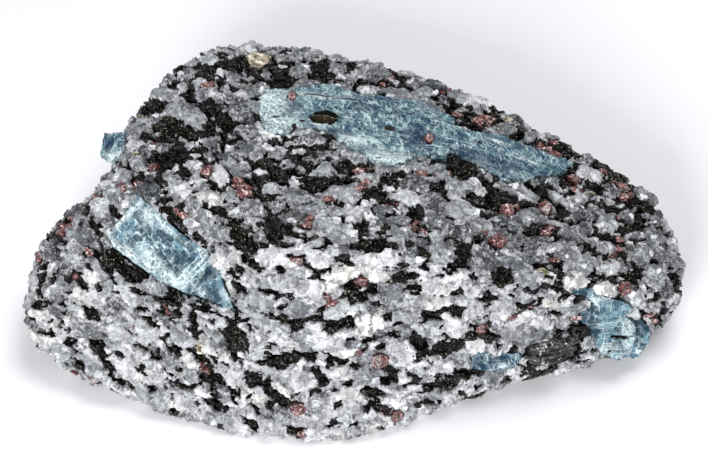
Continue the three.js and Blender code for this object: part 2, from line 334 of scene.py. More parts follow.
def wall_planes(index, others, seeds):
    """The planes between a grain and its neighbours, with what stands on the far side of each."""
    others = others[(seeds.kinds[others] == AIR) | (seeds.kinds[others] == GRAIN)]
    slopes = (seeds.slopes[index] + seeds.slopes[others]) / 2
    steps = seeds.places[others] - seeds.places[index]
    normals = np.einsum("nij,ni->nj", slopes, steps)
    middles = (seeds.centres[others] + seeds.centres[index]) / 2
    share = 0.5 + (seeds.radii[index] ** 2 - seeds.radii[others] ** 2) / (2 * (steps ** 2).sum(axis=1))
    rise = seeds.heights[others] - seeds.heights[index]
    crossing = np.clip(-seeds.heights[index] / np.maximum(rise, LEAST_RISE), *CROSSING)
    open_side = seeds.kinds[others] == AIR
    share = np.where(open_side, RELIEF * share + (1 - RELIEF) * crossing, share)
    along = np.einsum("ni,ni->n", normals, seeds.centres[others] - seeds.centres[index])
    offsets = -np.einsum("ni,ni->n", normals, middles) - (share - 0.5) * along
    lengths = np.linalg.norm(normals, axis=1)
    planes = np.column_stack([normals, offsets]) / lengths[:, None]
    planes[:, 3] += np.where(open_side, -seeds.stand[index], -OVERLAP)
    return planes, open_side


def corners_of(planes):
    """The corners of the convex cell inside these planes, and which planes bound it."""
    points, used = points_in_planes([Vector(plane) for plane in planes], SAME_PLANE, SAME_PLANE)
    if len(points) < 4:
        return None, None
    points = np.array(points)
    _, first = np.unique(np.round(points * CORNERS_PER_MM).astype(int), axis=0, return_index=True)
    return points[np.sort(first)], sorted(used)


def grain_cell(index, others, seeds, limits):
    """The planes that bound a cell, whether each faces out, and its corners. None if it doesn't show."""
    planes, open_side = wall_planes(index, np.array(others), seeds)
    slopes = seeds.slopes[index]
    normals = limits @ slopes
    reach = LIMIT * seeds.radii[index] + LIMIT_MARGIN
    offsets = -normals @ seeds.centres[index] - reach
    bounds = np.column_stack([normals, offsets]) / np.linalg.norm(normals, axis=1)[:, None]
    normal = seeds.normals[index]
    cap = (*normal, -normal.dot(seeds.centres[index]) + seeds.heights[index] - seeds.caps[index])
    extra = np.array([*seeds.walls[index], cap, (0, 0, -1, FLOOR)])
    planes = np.vstack([extra, bounds, planes])
    free = [False] * len(seeds.walls[index]) + [True, True]
    outward = np.concatenate([free, bounds[:, :3] @ normal > FACING_OUT, open_side])
    opens = np.concatenate([free, np.zeros(len(bounds), bool), open_side])
    first = len(extra) + len(bounds) + NEAREST_NEIGHBOURS
    points, used = corners_of(planes[:first])
    if points is None:
        return None
    late = planes[first:]
    cutting = np.flatnonzero((late[:, :3] @ points.T + late[:, 3:]).max(axis=1) > TOUCHING) + first
    if len(cutting):
        chosen = np.concatenate([used, cutting]).astype(int)
        points, used = corners_of(planes[chosen])
        if points is None:
            return None
        used = chosen[used]
    used = np.array(used, int)
    if not opens[used].any():
        return None
    return planes[used], outward[used], points


class Seeds:
    """The cells that the stone's skin is made of. Each grain of mineral is a cluster of several cells."""

    def __init__(self):
        self.centres, self.places, self.radii = scattered(CELL_SIZES)
        self.kinds, self.heights, self.normals, self.walls = sorted_seeds(self.centres)
        self.slopes = warp_slopes(self.centres)
        self.grains = Grains(self)
        self.stand = self.grains.stands_of(self.grains.of_cell, self.places)
        self.caps = CAPS[self.grains.kinds[self.grains.of_cell]]


# ---------------------------------------------------------------- minerals

QUARTZ, FELDSPAR, BIOTITE, GARNET, MUSCOVITE = range(5)
# For each mineral: how far its grains stand out, how thick its cells are and how domed its grains are.
STANDS = np.array([0.0, 0.0, -0.16, 0.02, 0.0])
CAPS = np.array([0.8, 0.8, 0.32, 0.6, 0.4])
DOMES = np.array([0.2, 0.16, 0.12, 0.3, 0.1])
# The share of black mica, and the middle and half size of the band where there is more of it.
MICA_SHARE = 0.515
DARK_BAND = np.array([(-3, -3, 24), (15, 7, 12)])
# The middle of the part with most garnets, and its size squared.
RED_MIDDLE = (23, 4, 21)
RED_SPREAD = 200
LARGEST_GARNET = 0.9
# How high a grain's own value has to be for each of these minerals.
MILKY_FROM = 0.95
RED_FROM = 1.1
MUSCOVITE_FROM = 0.985
GLASSY_FROM = 0.72
SMALLEST_GLASSY = 0.85
NEAR_GRAINS = 7
LUMP_SLOPE = 0.18
AXIS_SCATTER = 0.45
# The edges between grains are bent by noise: for each wave its width, how far it bends and which way.
BENDS = ((1.1, 0.9, (1, 0.3, -0.2)), (0.9, 0.9, (-0.2, 1, 0.3)), (1.0, 0.9, (0.3, -0.2, 1)),
         (0.43, 0.45, (1, -0.5, 0.2)), (0.37, 0.45, (-0.3, 1, 0.6)))


def ranked(values):
    """Each value's place in the order of them all, from 0 to 1."""
    order = np.empty(len(values))
    order[np.argsort(values)] = np.arange(len(values)) / len(values)
    return order


class Grains:
    """The grains of mineral: what each is, its shade, how far it stands out and how its cleavage lies."""

    def __init__(self, seeds):
        self.centres, self.places, self.radii = scattered(GRAIN_SIZES)
        self.tree = tree_of(self.places)
        self.of_cell, _ = self.nearest(seeds.places)
        count = len(self.centres)
        chance = rng.random((count, 6))
        normals = np.zeros((count, 3))
        np.add.at(normals, self.of_cell, seeds.normals)
        normals /= np.maximum(np.linalg.norm(normals, axis=1), TINY)[:, None]
        front = np.clip(-normals[:, 1] * 1.6 - 0.3, 0, 1)
        self.kinds = self.minerals(chance, front, normals)
        drift = smooth_noise(self.centres, 4.0, 16)
        self.tones = np.clip(0.8 * chance[:, 4] + 0.6 * drift + 0.12 * front - 0.29, 0, 1)
        self.stand = STANDS[self.kinds] + 0.3 * (chance[:, 5] - 0.5) + 0.05 * (self.radii - 0.8)
        self.tilts = rng.normal(size=(count, 3)) * LUMP_SLOPE
        large = self.radii > SMALLEST_GLASSY
        self.glassy = (self.kinds == QUARTZ) & large & (chance[:, 1] > GLASSY_FROM)
        axes = warp_slopes(self.centres)[:, 2] + rng.normal(size=(count, 3)) * AXIS_SCATTER
        self.axes = axes / np.linalg.norm(axes, axis=1)[:, None]

    def nearest(self, places):
        """The grain that each warped place belongs to, and how far off the next grain begins."""
        bent = places + sum(amount * (smooth_noise(places, size, 20)[:, None] - 0.5) * np.array(way)
                            for size, amount, way in BENDS)
        found = np.empty((len(places), 2), int)
        reach = np.empty((len(places), 2))
        for index, place in enumerate(bent):
            around = self.tree.find_n(place, NEAR_GRAINS)
            near = sorted((gap * gap - self.radii[item] ** 2, item) for _, item, gap in around)
            found[index] = near[0][1], near[1][1]
            reach[index] = near[0][0], near[1][0]
        between = np.linalg.norm(self.places[found[:, 0]] - self.places[found[:, 1]], axis=1)
        return found[:, 0], (reach[:, 1] - reach[:, 0]) / (2 * between)

    def stands_of(self, own, places):
        """How far each place stands out: more at the middle of its grain than at the grain's edge."""
        gap = np.linalg.norm(places - self.places[own], axis=1) / self.radii[own]
        dome = DOMES[self.kinds[own]] * self.radii[own] * (1 - np.clip(gap, 0, 1) ** 2)
        return self.stand[own] + dome

    def minerals(self, chance, front, normals):
        """Dark mica in streaks, quartz and feldspar between, garnets in clusters."""
        streaks = smooth_noise(self.places, (3.0, 2.4, 1.7), 11)
        streaks += 0.4 * smooth_noise(self.places, (1.7, 1.3, 0.9), 12)
        dark = ranked(streaks + 1.0 * chance[:, 0] + 0.32 * (self.radii - 0.7))
        right = np.clip((self.centres[:, 0] - 12) / 14, 0, 1)
        back = np.clip(1.5 * normals[:, 1] + 0.2, 0, 1) * np.clip((self.centres[:, 0] - 6) / 10, 0, 1)
        band = np.exp(-(((self.centres - DARK_BAND[0]) / DARK_BAND[1]) ** 2).sum(axis=1))
        share = MICA_SHARE + 0.08 * band - 0.155 * front * (1 - 0.45 * right) + 0.16 * back - 0.02 * right
        kinds = np.full(len(self.centres), QUARTZ)
        milky = smooth_noise(self.centres, 5.5, 13) + 0.5 * chance[:, 1] + 0.45 * front
        kinds[milky > MILKY_FROM] = FELDSPAR
        kinds[dark < share] = BIOTITE
        patches = smooth_noise(self.centres, 4.2, 14) + 0.25 * smooth_noise(self.centres, 1.8, 15)
        rich = np.exp(-((self.centres - RED_MIDDLE) ** 2).sum(axis=1) / RED_SPREAD)
        red = patches + 0.3 * chance[:, 2] + 0.2 * rich > RED_FROM
        kinds[red & (self.radii < LARGEST_GARNET)] = GARNET
        kinds[(chance[:, 3] > MUSCOVITE_FROM) & (kinds == BIOTITE)] = MUSCOVITE
        return kinds


ON_FACE = TOUCHING * 8
SHEET_THICKNESS = 1.1
SHEET_GAP = 0.015
SHEET_SHIFT = (-0.08, 0.08)
SHEET_BREAK = (0, 0.16)
TONE_SHIFT = (-0.06, 0.06)
UNEVENNESS = {QUARTZ: 0.06, BIOTITE: 0.03, GARNET: 0.05, MUSCOVITE: 0.02}
# For each mineral: how many corners are broken off a cell, and how deep as shares of its radius.
CHIPS = {QUARTZ: (2, (0.08, 0.35)), BIOTITE: (1, (0.05, 0.3)), GARNET: (4, (0.1, 0.35)), MUSCOVITE: (0, ())}
CHIP_SCATTER = 0.75
UNDERSIDE_REACH = 1.2


def chip_planes(points, outward, size, count, depths):
    """Planes that break a grain's outer corners off."""
    chips = []
    for _ in range(count):
        direction = rng.normal(size=3) * CHIP_SCATTER + outward
        direction /= np.linalg.norm(direction)
        reach = (points @ direction).max()
        chips.append((*direction, -reach + size * rng.uniform(*depths)))
    return np.array(chips)


def faces_of(points, planes):
    """The corners of each face in order, or an empty list for a plane that holds no face."""
    on = np.abs(points @ planes[:, :3].T + planes[:, 3]) < ON_FACE
    faces = []
    for column, plane in enumerate(planes):
        ring = np.flatnonzero(on[:, column])
        if len(ring) < 3:
            faces.append([])
            continue
        spread = points[ring] - points[ring].mean(axis=0)
        first = spread[0]
        second = np.cross(plane[:3], first)
        faces.append(ring[np.argsort(np.arctan2(spread @ second, spread @ first))].tolist())
    return faces


def fan(corners):
    """A face as triangles that meet at one of its corners, picked at random."""
    first = int(rng.integers(len(corners)))
    turned = corners[first:] + corners[:first]
    return [[turned[0], turned[i], turned[i + 1]] for i in range(1, len(turned) - 1)]


class GrainMesh:
    """Gathers the cells of one mineral into one mesh, with the values that its material reads."""

    def __init__(self):
        self.points, self.faces, self.tones, self.axes = [], [], [], []
        self.count = 0

    def add(self, points, planes, outward, tone, axis, unevenness):
        """One cell. Its open faces are split into triangles, which its shaken corners tilt apart."""
        for ring, is_open in zip(faces_of(points, planes), outward):
            corners = [corner + self.count for corner in ring]
            if is_open and len(corners) > 3:
                self.faces += fan(corners)
            elif corners:
                self.faces.append(corners)
        shaken = points + rng.uniform(-unevenness, unevenness, points.shape)
        shaken[:, 2] = np.maximum(shaken[:, 2], FLOOR)
        self.points += list(shaken)
        self.tones += [tone] * len(points)
        self.axes += [axis] * len(points)
        self.count = len(self.points)

    def mesh(self, name, sharp_from):
        mesh = bpy.data.meshes.new(name)
        mesh.from_pydata((np.array(self.points) * MM).tolist(), [], self.faces)
        store(mesh, "tone", self.tones)
        store(mesh, "axis", self.axes)
        shade(mesh, sharp_from)
        return mesh


def mica_sheets(points, planes, outward, axis):
    """A mica cell split across its axis into sheets, each broken back a little from the one beneath."""
    along = points @ axis
    low, high = along.min(), along.max()
    count = max(1, round((high - low) / SHEET_THICKNESS))
    edges = np.linspace(low, high, count + 1)[1:-1] + rng.uniform(*SHEET_SHIFT, max(count - 1, 0))
    edges = [low - 1, *edges, high + 1]
    sheets = []
    for under, over in zip(edges[:-1], edges[1:]):
        side = rng.normal(size=3)
        side -= side.dot(axis) * axis
        side /= np.linalg.norm(side)
        back = (points @ side).max() - (high - low) * rng.uniform(*SHEET_BREAK)
        cut = np.array([(*axis, -over + SHEET_GAP), (*-axis, under), (*side, -back)])
        sheets.append((np.vstack([planes, cut]), np.concatenate([outward, [True, False, True]])))
    return sheets


def can_show(index, neighbours, seeds):
    """Whether a cell lies at the surface: beside the air or near the flat underside."""
    low = seeds.centres[index, 2] < UNDERSIDE_REACH * seeds.radii[index]
    return low or (seeds.kinds[neighbours] == AIR).any()


def chipped(cell, kind, index, seeds):
    """The planes of a cell with some of its outer corners broken off, and whether each faces out."""
    planes, outward, points = cell
    count, depths = CHIPS[kind]
    if not count:
        return planes, outward
    chips = chip_planes(points, seeds.normals[index], seeds.radii[index], count, depths)
    return np.vstack([planes, chips]), np.concatenate([outward, np.ones(count, bool)])


def make_grains(seeds):
    """The mica, garnet and glassy quartz: one mesh for each, of every cell that shows at the surface."""
    neighbours = neighbour_lists(seeds.places)
    limits = limit_directions()
    grains = seeds.grains
    meshes = {kind: GrainMesh() for kind in CHIPS}
    for index in np.flatnonzero(seeds.kinds == GRAIN):
        if not can_show(index, neighbours[index], seeds):
            continue
        grain = grains.of_cell[index]
        kind = grains.kinds[grain]
        if kind == FELDSPAR or (kind == QUARTZ and not grains.glassy[grain]):
            continue
        cell = grain_cell(index, neighbours[index], seeds, limits)
        if cell is None:
            continue
        shapes = [chipped(cell, kind, index, seeds)]
        if kind in (BIOTITE, MUSCOVITE):
            shapes = mica_sheets(cell[2], *shapes[0], grains.axes[grain])
        tone = grains.tones[grain] + rng.uniform(*TONE_SHIFT)
        for planes, outward in shapes:
            points, used = corners_of(planes)
            if points is not None:
                shape = points, planes[used], outward[used]
                meshes[kind].add(*shape, tone, grains.axes[grain], UNEVENNESS[kind])
    return meshes


# ---------------------------------------------------------------- crystals

CRYSTAL_SHARP_FROM = 40
# Each crystal's length and its broad face, as directions. Its own coordinates run along it, across it and
# up from its top face, in millimetres from the middle of its CAD box in those directions.
CRYSTAL_AXES = {
    "kyanite_long_blade": ((1, -0.1, 0), (0.06, 0.16, 0.985)),
    "kyanite_front_blade": ((0.63, -0.75, 0), (-0.18, -0.42, 0.89)),
    "kyanite_small_blade": ((0.93, 0.3, -0.1), (0.2, -0.8, 0.57)),
    "kyanite_left_tip": ((0, 0.8, 0.3), (-0.5, -0.3, 0.8)),
    "kyanite_corner_crystals": ((1, 0.1, 0), (0.2, -0.88, 0.42)),
    "biotite_book": ((0.96, 0.26, -0.08), (0.05, 0.1, 1)),
    "biotite_eye": ((1, -0.1, 0), (0.06, 0.16, 0.985)),
    "golden_mica": ((1, 0.2, 0), (0.05, -0.3, 0.95)),
}


def refined_copy(node, size):
    """A copy of a CAD node's mesh with evenly small faces."""
    rough = placed("rough", nodes[node].data.copy())
    finer = rough.modifiers.new("finer", "REMESH")
    finer.mode = "VOXEL"
    finer.voxel_size = size * MM
    finer.use_smooth_shade = True
    mesh = modified(rough)
    mesh.materials.clear()
    return mesh


def crystal_frame(along, face):
    """Rows that turn the row frame into a crystal's own directions."""
    up = np.array(face, float)
    up /= np.linalg.norm(up)
    length = np.array(along, float)
    length -= up * length.dot(up)
    length /= np.linalg.norm(length)
    return np.array([length, np.cross(up, length), up])


class Crystal:
    """A crystal's fine mesh in its own coordinates, to be broken, stepped and striated there."""

    def __init__(self, node, size):
        self.rows = crystal_frame(*CRYSTAL_AXES[node])
        corners = corners_of_node(node).reshape(-1, 3) @ self.rows.T
        low, high = corners.min(axis=0), corners.max(axis=0)
        self.middle = np.array([(low[0] + high[0]) / 2, (low[1] + high[1]) / 2, high[2]])
        self.half = (high - low) / 2
        self.mesh = refined_copy(node, size)
        self.start = read_vectors(self.mesh, "co") / MM @ self.rows.T - self.middle
        self.places = self.start
        self.normals = read_vectors(self.mesh, "normal") @ self.rows.T
        self.top = np.clip(self.normals[:, 2] * 1.4 - 0.4, 0, 1)
        self.values = dict.fromkeys(("white", "deep", "dark"), [0] * len(self.places))

    def push(self, amount, direction=None):
        """Moves every point by its own amount, along its normal or along one direction for all."""
        way = self.normals if direction is None else np.array(direction, float)
        self.places = self.places + np.asarray(amount)[:, None] * way

    def sink(self, depth, pattern):
        """Lowers the broad face, by the depth where the pattern is 1."""
        self.push(-depth * self.top * pattern, (0, 0, 1))

    def paint(self, white, deep, dark=()):
        """Where the crystal is frosted (on the mica book, where its painted glints gather), where it is
        deep blue and where it is dark: something dark in it, or painted shade along a crack.
        """
        for label, marks in (("white", white), ("deep", deep), ("dark", dark)):
            self.values[label] = soft_spots(self.start, marks)

    def finish(self):
        """The mesh with the new shape, and the values that its material reads."""
        points = (self.places + self.middle) @ self.rows
        points[:, 2] = np.maximum(points[:, 2], FLOOR)
        write_places(self.mesh, points)
        for label, values in self.values.items():
            store(self.mesh, label, values)
        store(self.mesh, "place", self.places)
        shade(self.mesh, CRYSTAL_SHARP_FROM)
        self.mesh.update()
        return self.mesh


def soft_spots(places, marks):
    """How strongly each point lies in any of the soft spots, from 0 to 1."""
    found = np.zeros(len(places))
    for along, across, length, width in marks:
        reach = ((places[:, 0] - along) / length) ** 2 + ((places[:, 1] - across) / width) ** 2
        found = np.maximum(found, np.exp(-reach))
    return found


def steps(value, count):
    """A value from 0 to 1 made into flat steps with short steep rises between them."""
    scaled = value * count
    base = np.floor(scaled)
    rise = np.clip((scaled - base - 0.86) / 0.14, 0, 1)
    return (base + rise) / count


def broken_sides(crystal, depth, length):
    """Chips and splinters all round a crystal's edge, which move its outline in and out."""
    side = np.clip((0.97 - np.abs(crystal.normals[:, 2])) / 0.3, 0, 1)
    outward = crystal.normals * (1, 1, 0)
    outward /= np.maximum(np.linalg.norm(outward, axis=1), TINY)[:, None]
    places = crystal.places
    chips = smooth_noise(places, (length, length, 1.1), 31) - 0.5
    blocks = lattice_value(np.floor(places / (length * 0.6, length * 0.35, 0.6)).astype(np.int64), 32) - 0.5
    splinters = smooth_noise(places, (1.5, 0.35, 0.5), 33) - 0.5
    crystal.push(side * depth * (0.6 * chips + 0.5 * blocks + 0.5 * splinters), outward)


def stepped_face(crystal, depth, length, width, count, key):
    """Cleavage steps down the broad face, long and narrow like the layers that split away."""
    field = smooth_noise(crystal.places, (length, width, 40), key) * 0.75
    field += 0.25 * smooth_noise(crystal.places, (length / 4, width / 3, 40), key + 1)
    crystal.sink(depth, steps(np.clip(field, 0, 1), count))


def fibrous_face(crystal, height, key):
    """A fine felt of fibres that cross the broad face at a slant."""
    slanted = crystal.places @ np.array([[1, 0.35, 0], [-0.35, 1, 0], [0, 0, 1]])
    felt = smooth_noise(slanted, (0.34, 1.7, 9), key) + smooth_noise(slanted, (0.9, 0.45, 9), key + 1)
    crystal.sink(-height, felt - 1)


def cracks(crystal, marks):
    """Grooves in the broad face."""
    for along, across, turn, length, width, depth in marks:
        shift = crystal.places[:, :2] - (along, across)
        wobble = 0.25 * (smooth_noise(crystal.places, 0.9, 40) - 0.5)
        run = shift[:, 0] * math.cos(turn) + shift[:, 1] * math.sin(turn)
        off = shift[:, 1] * math.cos(turn) - shift[:, 0] * math.sin(turn) + wobble
        crystal.sink(depth, np.exp(-(run / length) ** 4 - (off / width) ** 2))


# Where each crystal is cracked, as (along, across, turn, half length, half width, depth), and where it is
# white, deep blue or dark, as (along, across, half length, half width). Dark along a crack is painted
# shade.
LONG_BLADE_CRACKS = ((-14.5, 6.2, -0.05, 2.1, 0.16, 0.4), (-6.5, 4.9, -0.3, 1.6, 0.12, 0.25),
                     (6, 2.2, -0.62, 3, 0.12, 0.22), (14, -1, -0.5, 2, 0.12, 0.2))
LONG_BLADE_WHITE = ((-22, 2, 3, 5), (-19.5, -2, 3.2, 2), (-14.6, 5.7, 2.7, 0.65), (-3.5, -7.4, 3.6, 1.7),
                    (-18.9, 5.1, 1.3, 1), (-13.6, -1.2, 1.8, 0.5),
                    (-9, -4, 2.5, 1.1), (8, -4.9, 2.4, 0.6), (21.5, -4.5, 4, 0.9), (3.5, 6.6, 2.5, 0.8),
                    (12, 1.6, 1.6, 0.25), (17, -0.6, 1.8, 0.25))
# The first two dark marks lie along the splinter crack and are painted shade; the rest are dark things in
# the blade.
LONG_BLADE_DARK_AND_CRACK_SHADE = ((-15.5, 5.75, 1.4, 0.26), (-13.9, 5.65, 0.9, 0.24), (-3.7, -0.3, 0.8, 0.6),
                   (-20.5, -0.5, 0.5, 0.3), (-10.3, 5.6, 1.3, 0.16), (9.6, 0.2, 0.4, 0.3),
                   (-16.5, -0.9, 0.4, 0.3), (-17.3, -2.0, 0.5, 0.25))
LONG_BLADE_DEEP = ((0.5, -1.4, 2.6, 2), (9.5, -3.2, 4.2, 1.6), (-8, 4.2, 2.5, 1.2), (-12.5, -2.2, 3.5, 0.9),
                   (14, -3, 2, 0.9), (-19, 3, 1.5, 1.2))


def make_long_blade():
    """The long teal blade: a felted face with cleavage steps, a white ragged end and splinter cracks."""
    crystal = Crystal("kyanite_long_blade", 0.17)
    broken_sides(crystal, 1.1, 1.5)
    stepped_face(crystal, 0.5, 15, 2.6, 4, 51)
    fibrous_face(crystal, 0.07, 53)
    cracks(crystal, LONG_BLADE_CRACKS)
    ragged = soft_spots(crystal.start, ((-23, 2, 2.6, 6),))
    crystal.push(-ragged * 0.8 * smooth_noise(crystal.start, (0.9, 0.6, 4), 55), (0, 0, 1))
    crystal.paint(LONG_BLADE_WHITE, LONG_BLADE_DEEP, LONG_BLADE_DARK_AND_CRACK_SHADE)
    return crystal.finish()


LAYER_SPACING = 0.7
FRONT_BLADE_CRACKS = ((-6.2, 0.6, 1.45, 2.2, 0.1, 0.15), (-2, 0.4, 1.5, 2, 0.08, 0.12),
                      (-3.4, 1.9, 0.02, 4.2, 0.1, 0.16), (0.9, 0, 1.35, 2, 0.08, 0.1))
FRONT_BLADE_WHITE = ((-9.9, 0, 0.45, 5), (-8.5, -4.2, 1.6, 0.7), (-5.5, -3.6, 2, 0.7), (-2.2, -2.9, 2, 0.8),
                     (1.2, -2.1, 1.8, 0.8), (-5.5, 2.7, 3, 0.4), (3, -0.9, 0.9, 1), (5.8, -0.3, 0.9, 0.5),
                     (1.5, 4.4, 2, 0.4), (9.5, 1.8, 1.2, 0.4), (-7.6, 2.2, 1.3, 1.1),
                     (-2.5, -1.8, 2.6, 0.7))
FRONT_BLADE_DEEP = ((-6.7, 0.7, 1.3, 0.8), (-4.3, 1.2, 1.6, 0.9), (-2.6, 1.5, 1, 0.7), (-6.4, -2, 0.8, 0.7),
                    (-0.1, 0.5, 1.8, 1.5), (1.3, 0.9, 1, 1.1), (4.5, 1, 0.5, 2.4), (7.5, 0.2, 2, 1),
                    (-8.6, 1.4, 0.9, 0.6), (-3.6, -1.2, 0.7, 0.5), (-8.2, 3, 0.8, 0.4))


def make_front_blade():
    """The pale front blade: a glassy face with right-angled cracks, and thin layers at its step."""
    crystal = Crystal("kyanite_front_blade", 0.14)
    broken_sides(crystal, 0.4, 1.5)
    stepped_face(crystal, 0.22, 13, 2.2, 3, 61)
    along, _, height = crystal.start.T
    step = np.clip((along - 2.6) / 2.2, 0, 1) * (height > -0.6)
    crystal.push(-0.5 * steps(step, 5), (0, 0, 1))
    cracks(crystal, FRONT_BLADE_CRACKS)
    crystal.paint(FRONT_BLADE_WHITE, FRONT_BLADE_DEEP)
    layers = np.sin(along * 2 * math.pi / LAYER_SPACING) > 0.2
    at_step = (along > 1.9) & (along < 4.1)
    crystal.values["white"] = np.maximum(crystal.values["white"], 0.6 * (layers & at_step))
    return crystal.finish()


CORNER_CRACKS = ((2.0, -3.0, -0.28, 1.5, 0.2, 0.8), (-2, 1.2, 0.2, 1.6, 0.16, 0.4),
                 (-0.6, -4.4, 0.1, 1.4, 0.15, 0.3))
# Dark along and beside the corner's cracks: painted shade.
CORNER_CRACK_SHADE = ((1.2, -2.8, 0.7, 0.18), (2.0, -3.0, 0.7, 0.2), (2.8, -3.25, 0.6, 0.18),
               (0.3, -4.9, 0.3, 0.22))
CORNER_WHITE = ((3.1, -2.5, 0.7, 3.6), (-0.5, -4.5, 1.8, 0.7), (0.5, 0.2, 2.2, 0.6), (-1, 4.8, 2.6, 0.5))
CORNER_DEEP = ((-3.2, 1.3, 1.7, 1.4), (6, -2.2, 1.4, 2.8), (-2.5, -2.2, 1.4, 1.6), (-4.6, 6, 1.2, 0.8))


def make_corner_crystals():
    """The corner crystals: an upright block, its side step, a stub and the plate above them."""
    crystal = Crystal("kyanite_corner_crystals", 0.14)
    broken_sides(crystal, 0.4, 1.3)
    stepped_face(crystal, 0.35, 6, 1.6, 4, 71)
    upright = np.clip(crystal.normals[:, 0] * 1.4 - 0.4, 0, 1)
    crystal.push(-0.25 * upright * smooth_noise(crystal.start, (9, 7, 0.45), 73), (1, 0, 0))
    cracks(crystal, CORNER_CRACKS)
    crystal.paint(CORNER_WHITE, CORNER_DEEP, CORNER_CRACK_SHADE)
    return crystal.finish()


SMALL_BLADE_WHITE = ((0.6, -1.0, 1.2, 0.4), (-0.4, 0.9, 0.6, 0.3))
SMALL_BLADE_DEEP = ((0.4, 0, 1.6, 0.5), (-2.6, 0.2, 0.9, 0.7))


def make_small_blade():
    """The small mid-blue blade at the front: granular, with a jagged edge."""
    crystal = Crystal("kyanite_small_blade", 0.11)
    broken_sides(crystal, 0.8, 0.9)
    stepped_face(crystal, 0.3, 3.5, 0.9, 3, 81)
    fibrous_face(crystal, 0.12, 83)
    crystal.paint(SMALL_BLADE_WHITE, SMALL_BLADE_DEEP)
    return crystal.finish()


def make_left_tip():
    """The blade end that stands out at the far left, striated along its length."""
    crystal = Crystal("kyanite_left_tip", 0.11)
    broken_sides(crystal, 0.6, 1)
    stepped_face(crystal, 0.3, 5, 0.7, 4, 91)
    crystal.paint(((-1.6, 0, 0.9, 2),), ((0.8, 1, 1.2, 1),))
    return crystal.finish()


def layered_sides(crystal, thickness, depth, key):
    """Sheets laid on each other, each with its own ragged edge."""
    side = 1 - np.clip(np.abs(crystal.normals[:, 2]) * 1.25, 0, 1)
    wavy = crystal.places[:, 2] + 0.5 * smooth_noise(crystal.places, 2.6, key)
    layer = np.floor(wavy / thickness)
    ragged = np.column_stack([crystal.places[:, :2], layer * 7.3])
    crystal.push(-side * depth * smooth_noise(ragged, (1.3, 1.3, 1), key + 1))
    crystal.sink(depth, steps(smooth_noise(crystal.places, (2.6, 1.2, 40), key + 2), 4))


def make_biotite_book():
    """The book of dark mica sheets beside the small blade."""
    crystal = Crystal("biotite_book", 0.1)
    # The white spots here mark where the book's painted glints gather.
    crystal.paint(((-1.3, -0.9, 1.5, 0.4), (0.4, -1.1, 0.9, 0.25)), ())
    layered_sides(crystal, 0.26, 0.5, 101)
    return crystal.finish()


def make_biotite_eye():
    """The glassy brown lens of mica in the long blade, domed and split along one pale line."""
    crystal = Crystal("biotite_eye", 0.08)
    reach = (crystal.places[:, 0] / crystal.half[0]) ** 2 + (crystal.places[:, 1] / crystal.half[1]) ** 2
    crystal.sink(0.3, reach)
    split = crystal.places[:, 1] + 0.15 * (smooth_noise(crystal.places, 0.9, 111) - 0.5)
    crystal.sink(0.2, np.clip(split / 0.12, 0, 1))
    return crystal.finish()


def make_golden_mica():
    """The pale golden flake at the back edge, a short stack of bright sheets."""
    crystal = Crystal("golden_mica", 0.08)
    broken_sides(crystal, 1.6, 1.3)
    layered_sides(crystal, 0.2, 0.5, 121)
    return crystal.finish()


GARNET_GROWTH = 1.1
GARNET_CHIPS = 16
GARNET_CHIP_DEPTHS = (0.15, 0.5)
GARNET_UNEVENNESS = 0.06
GARNET_SHARP_FROM = 12


def make_garnet(node):
    """A garnet with its twelve faces from the frame, grown to fill its socket, chipped and uneven."""
    triangles = corners_of_node(node)
    middle = triangles.mean(axis=(0, 1))
    triangles = middle + (triangles - middle) * GARNET_GROWTH
    points = triangles.reshape(-1, 3)
    normals = np.cross(triangles[:, 1] - triangles[:, 0], triangles[:, 2] - triangles[:, 0])
    normals /= np.linalg.norm(normals, axis=1)[:, None]
    _, first = np.unique(np.round(normals, 2), axis=0, return_index=True)
    normals = normals[np.sort(first)]
    reaches = (points @ normals.T).max(axis=0)
    planes = np.column_stack([normals, -reaches])
    size = np.linalg.norm(np.ptp(points, axis=0)) / 4
    for direction in rng.normal(size=(GARNET_CHIPS, 3)):
        direction /= np.linalg.norm(direction)
        reach = (points @ direction).max()
        planes = np.vstack([planes, (*direction, -reach + size * rng.uniform(*GARNET_CHIP_DEPTHS))])
    corners, used = corners_of(planes)
    grains = GrainMesh()
    grains.add(corners, planes[used], np.ones(len(used), bool), rng.random(), normals[0], GARNET_UNEVENNESS)
    return grains.mesh(node, GARNET_SHARP_FROM)


SKIN_PITCH = 0.29
SKIN_SHAKE = 0.05
SHAKE_ALONG_FACE = 0.8
SKIN_SHARP_FROM = 16
# Seams between grains, the tilt of each cell's face, and how far it and the grain's own tilt reach.
SEAM_WIDTH = 0.3
SEAM_DEPTH = 0.15
SLOPE = 0.38
STEEPEST = 0.2
LUMP_RISE = 0.3
# How far the skin sinks under the grains that are meshes of their own.
SUNK = {BIOTITE: -0.5, MUSCOVITE: -0.5, GARNET: -0.35}
# Near a crystal the skin closes up to it, and rises no more than this.
LIP_WIDTH = 0.6
LIP_REACH = 0.95
LIP_RISE = (-0.12, 0.3)
# The flat underside: relief fades out below this height, and this share of its faces is merged.
UNDERSIDE = 0.35
UNDERSIDE_CUT = 0.8


def toward_crystals(places):
    """For each place near a crystal, how close that is (1 where they touch) and the way to it."""
    close = np.zeros(len(places))
    ways = np.zeros((len(places), 3))
    for name in (*BLADES, *MICAS, *GARNETS):
        tree = surface_of(name)
        low, high = box_mm(name)
        inside = ((places > low - LIP_WIDTH) & (places < high + LIP_WIDTH)).all(axis=1)
        for index in np.flatnonzero(inside):
            found, _, _, gap = tree.find_nearest(Vector(places[index]))
            if 1 - gap / LIP_WIDTH > close[index]:
                close[index] = 1 - gap / LIP_WIDTH
                ways[index] = (np.array(found) - places[index]) / max(gap, TINY) * close[index]
    return close, ways


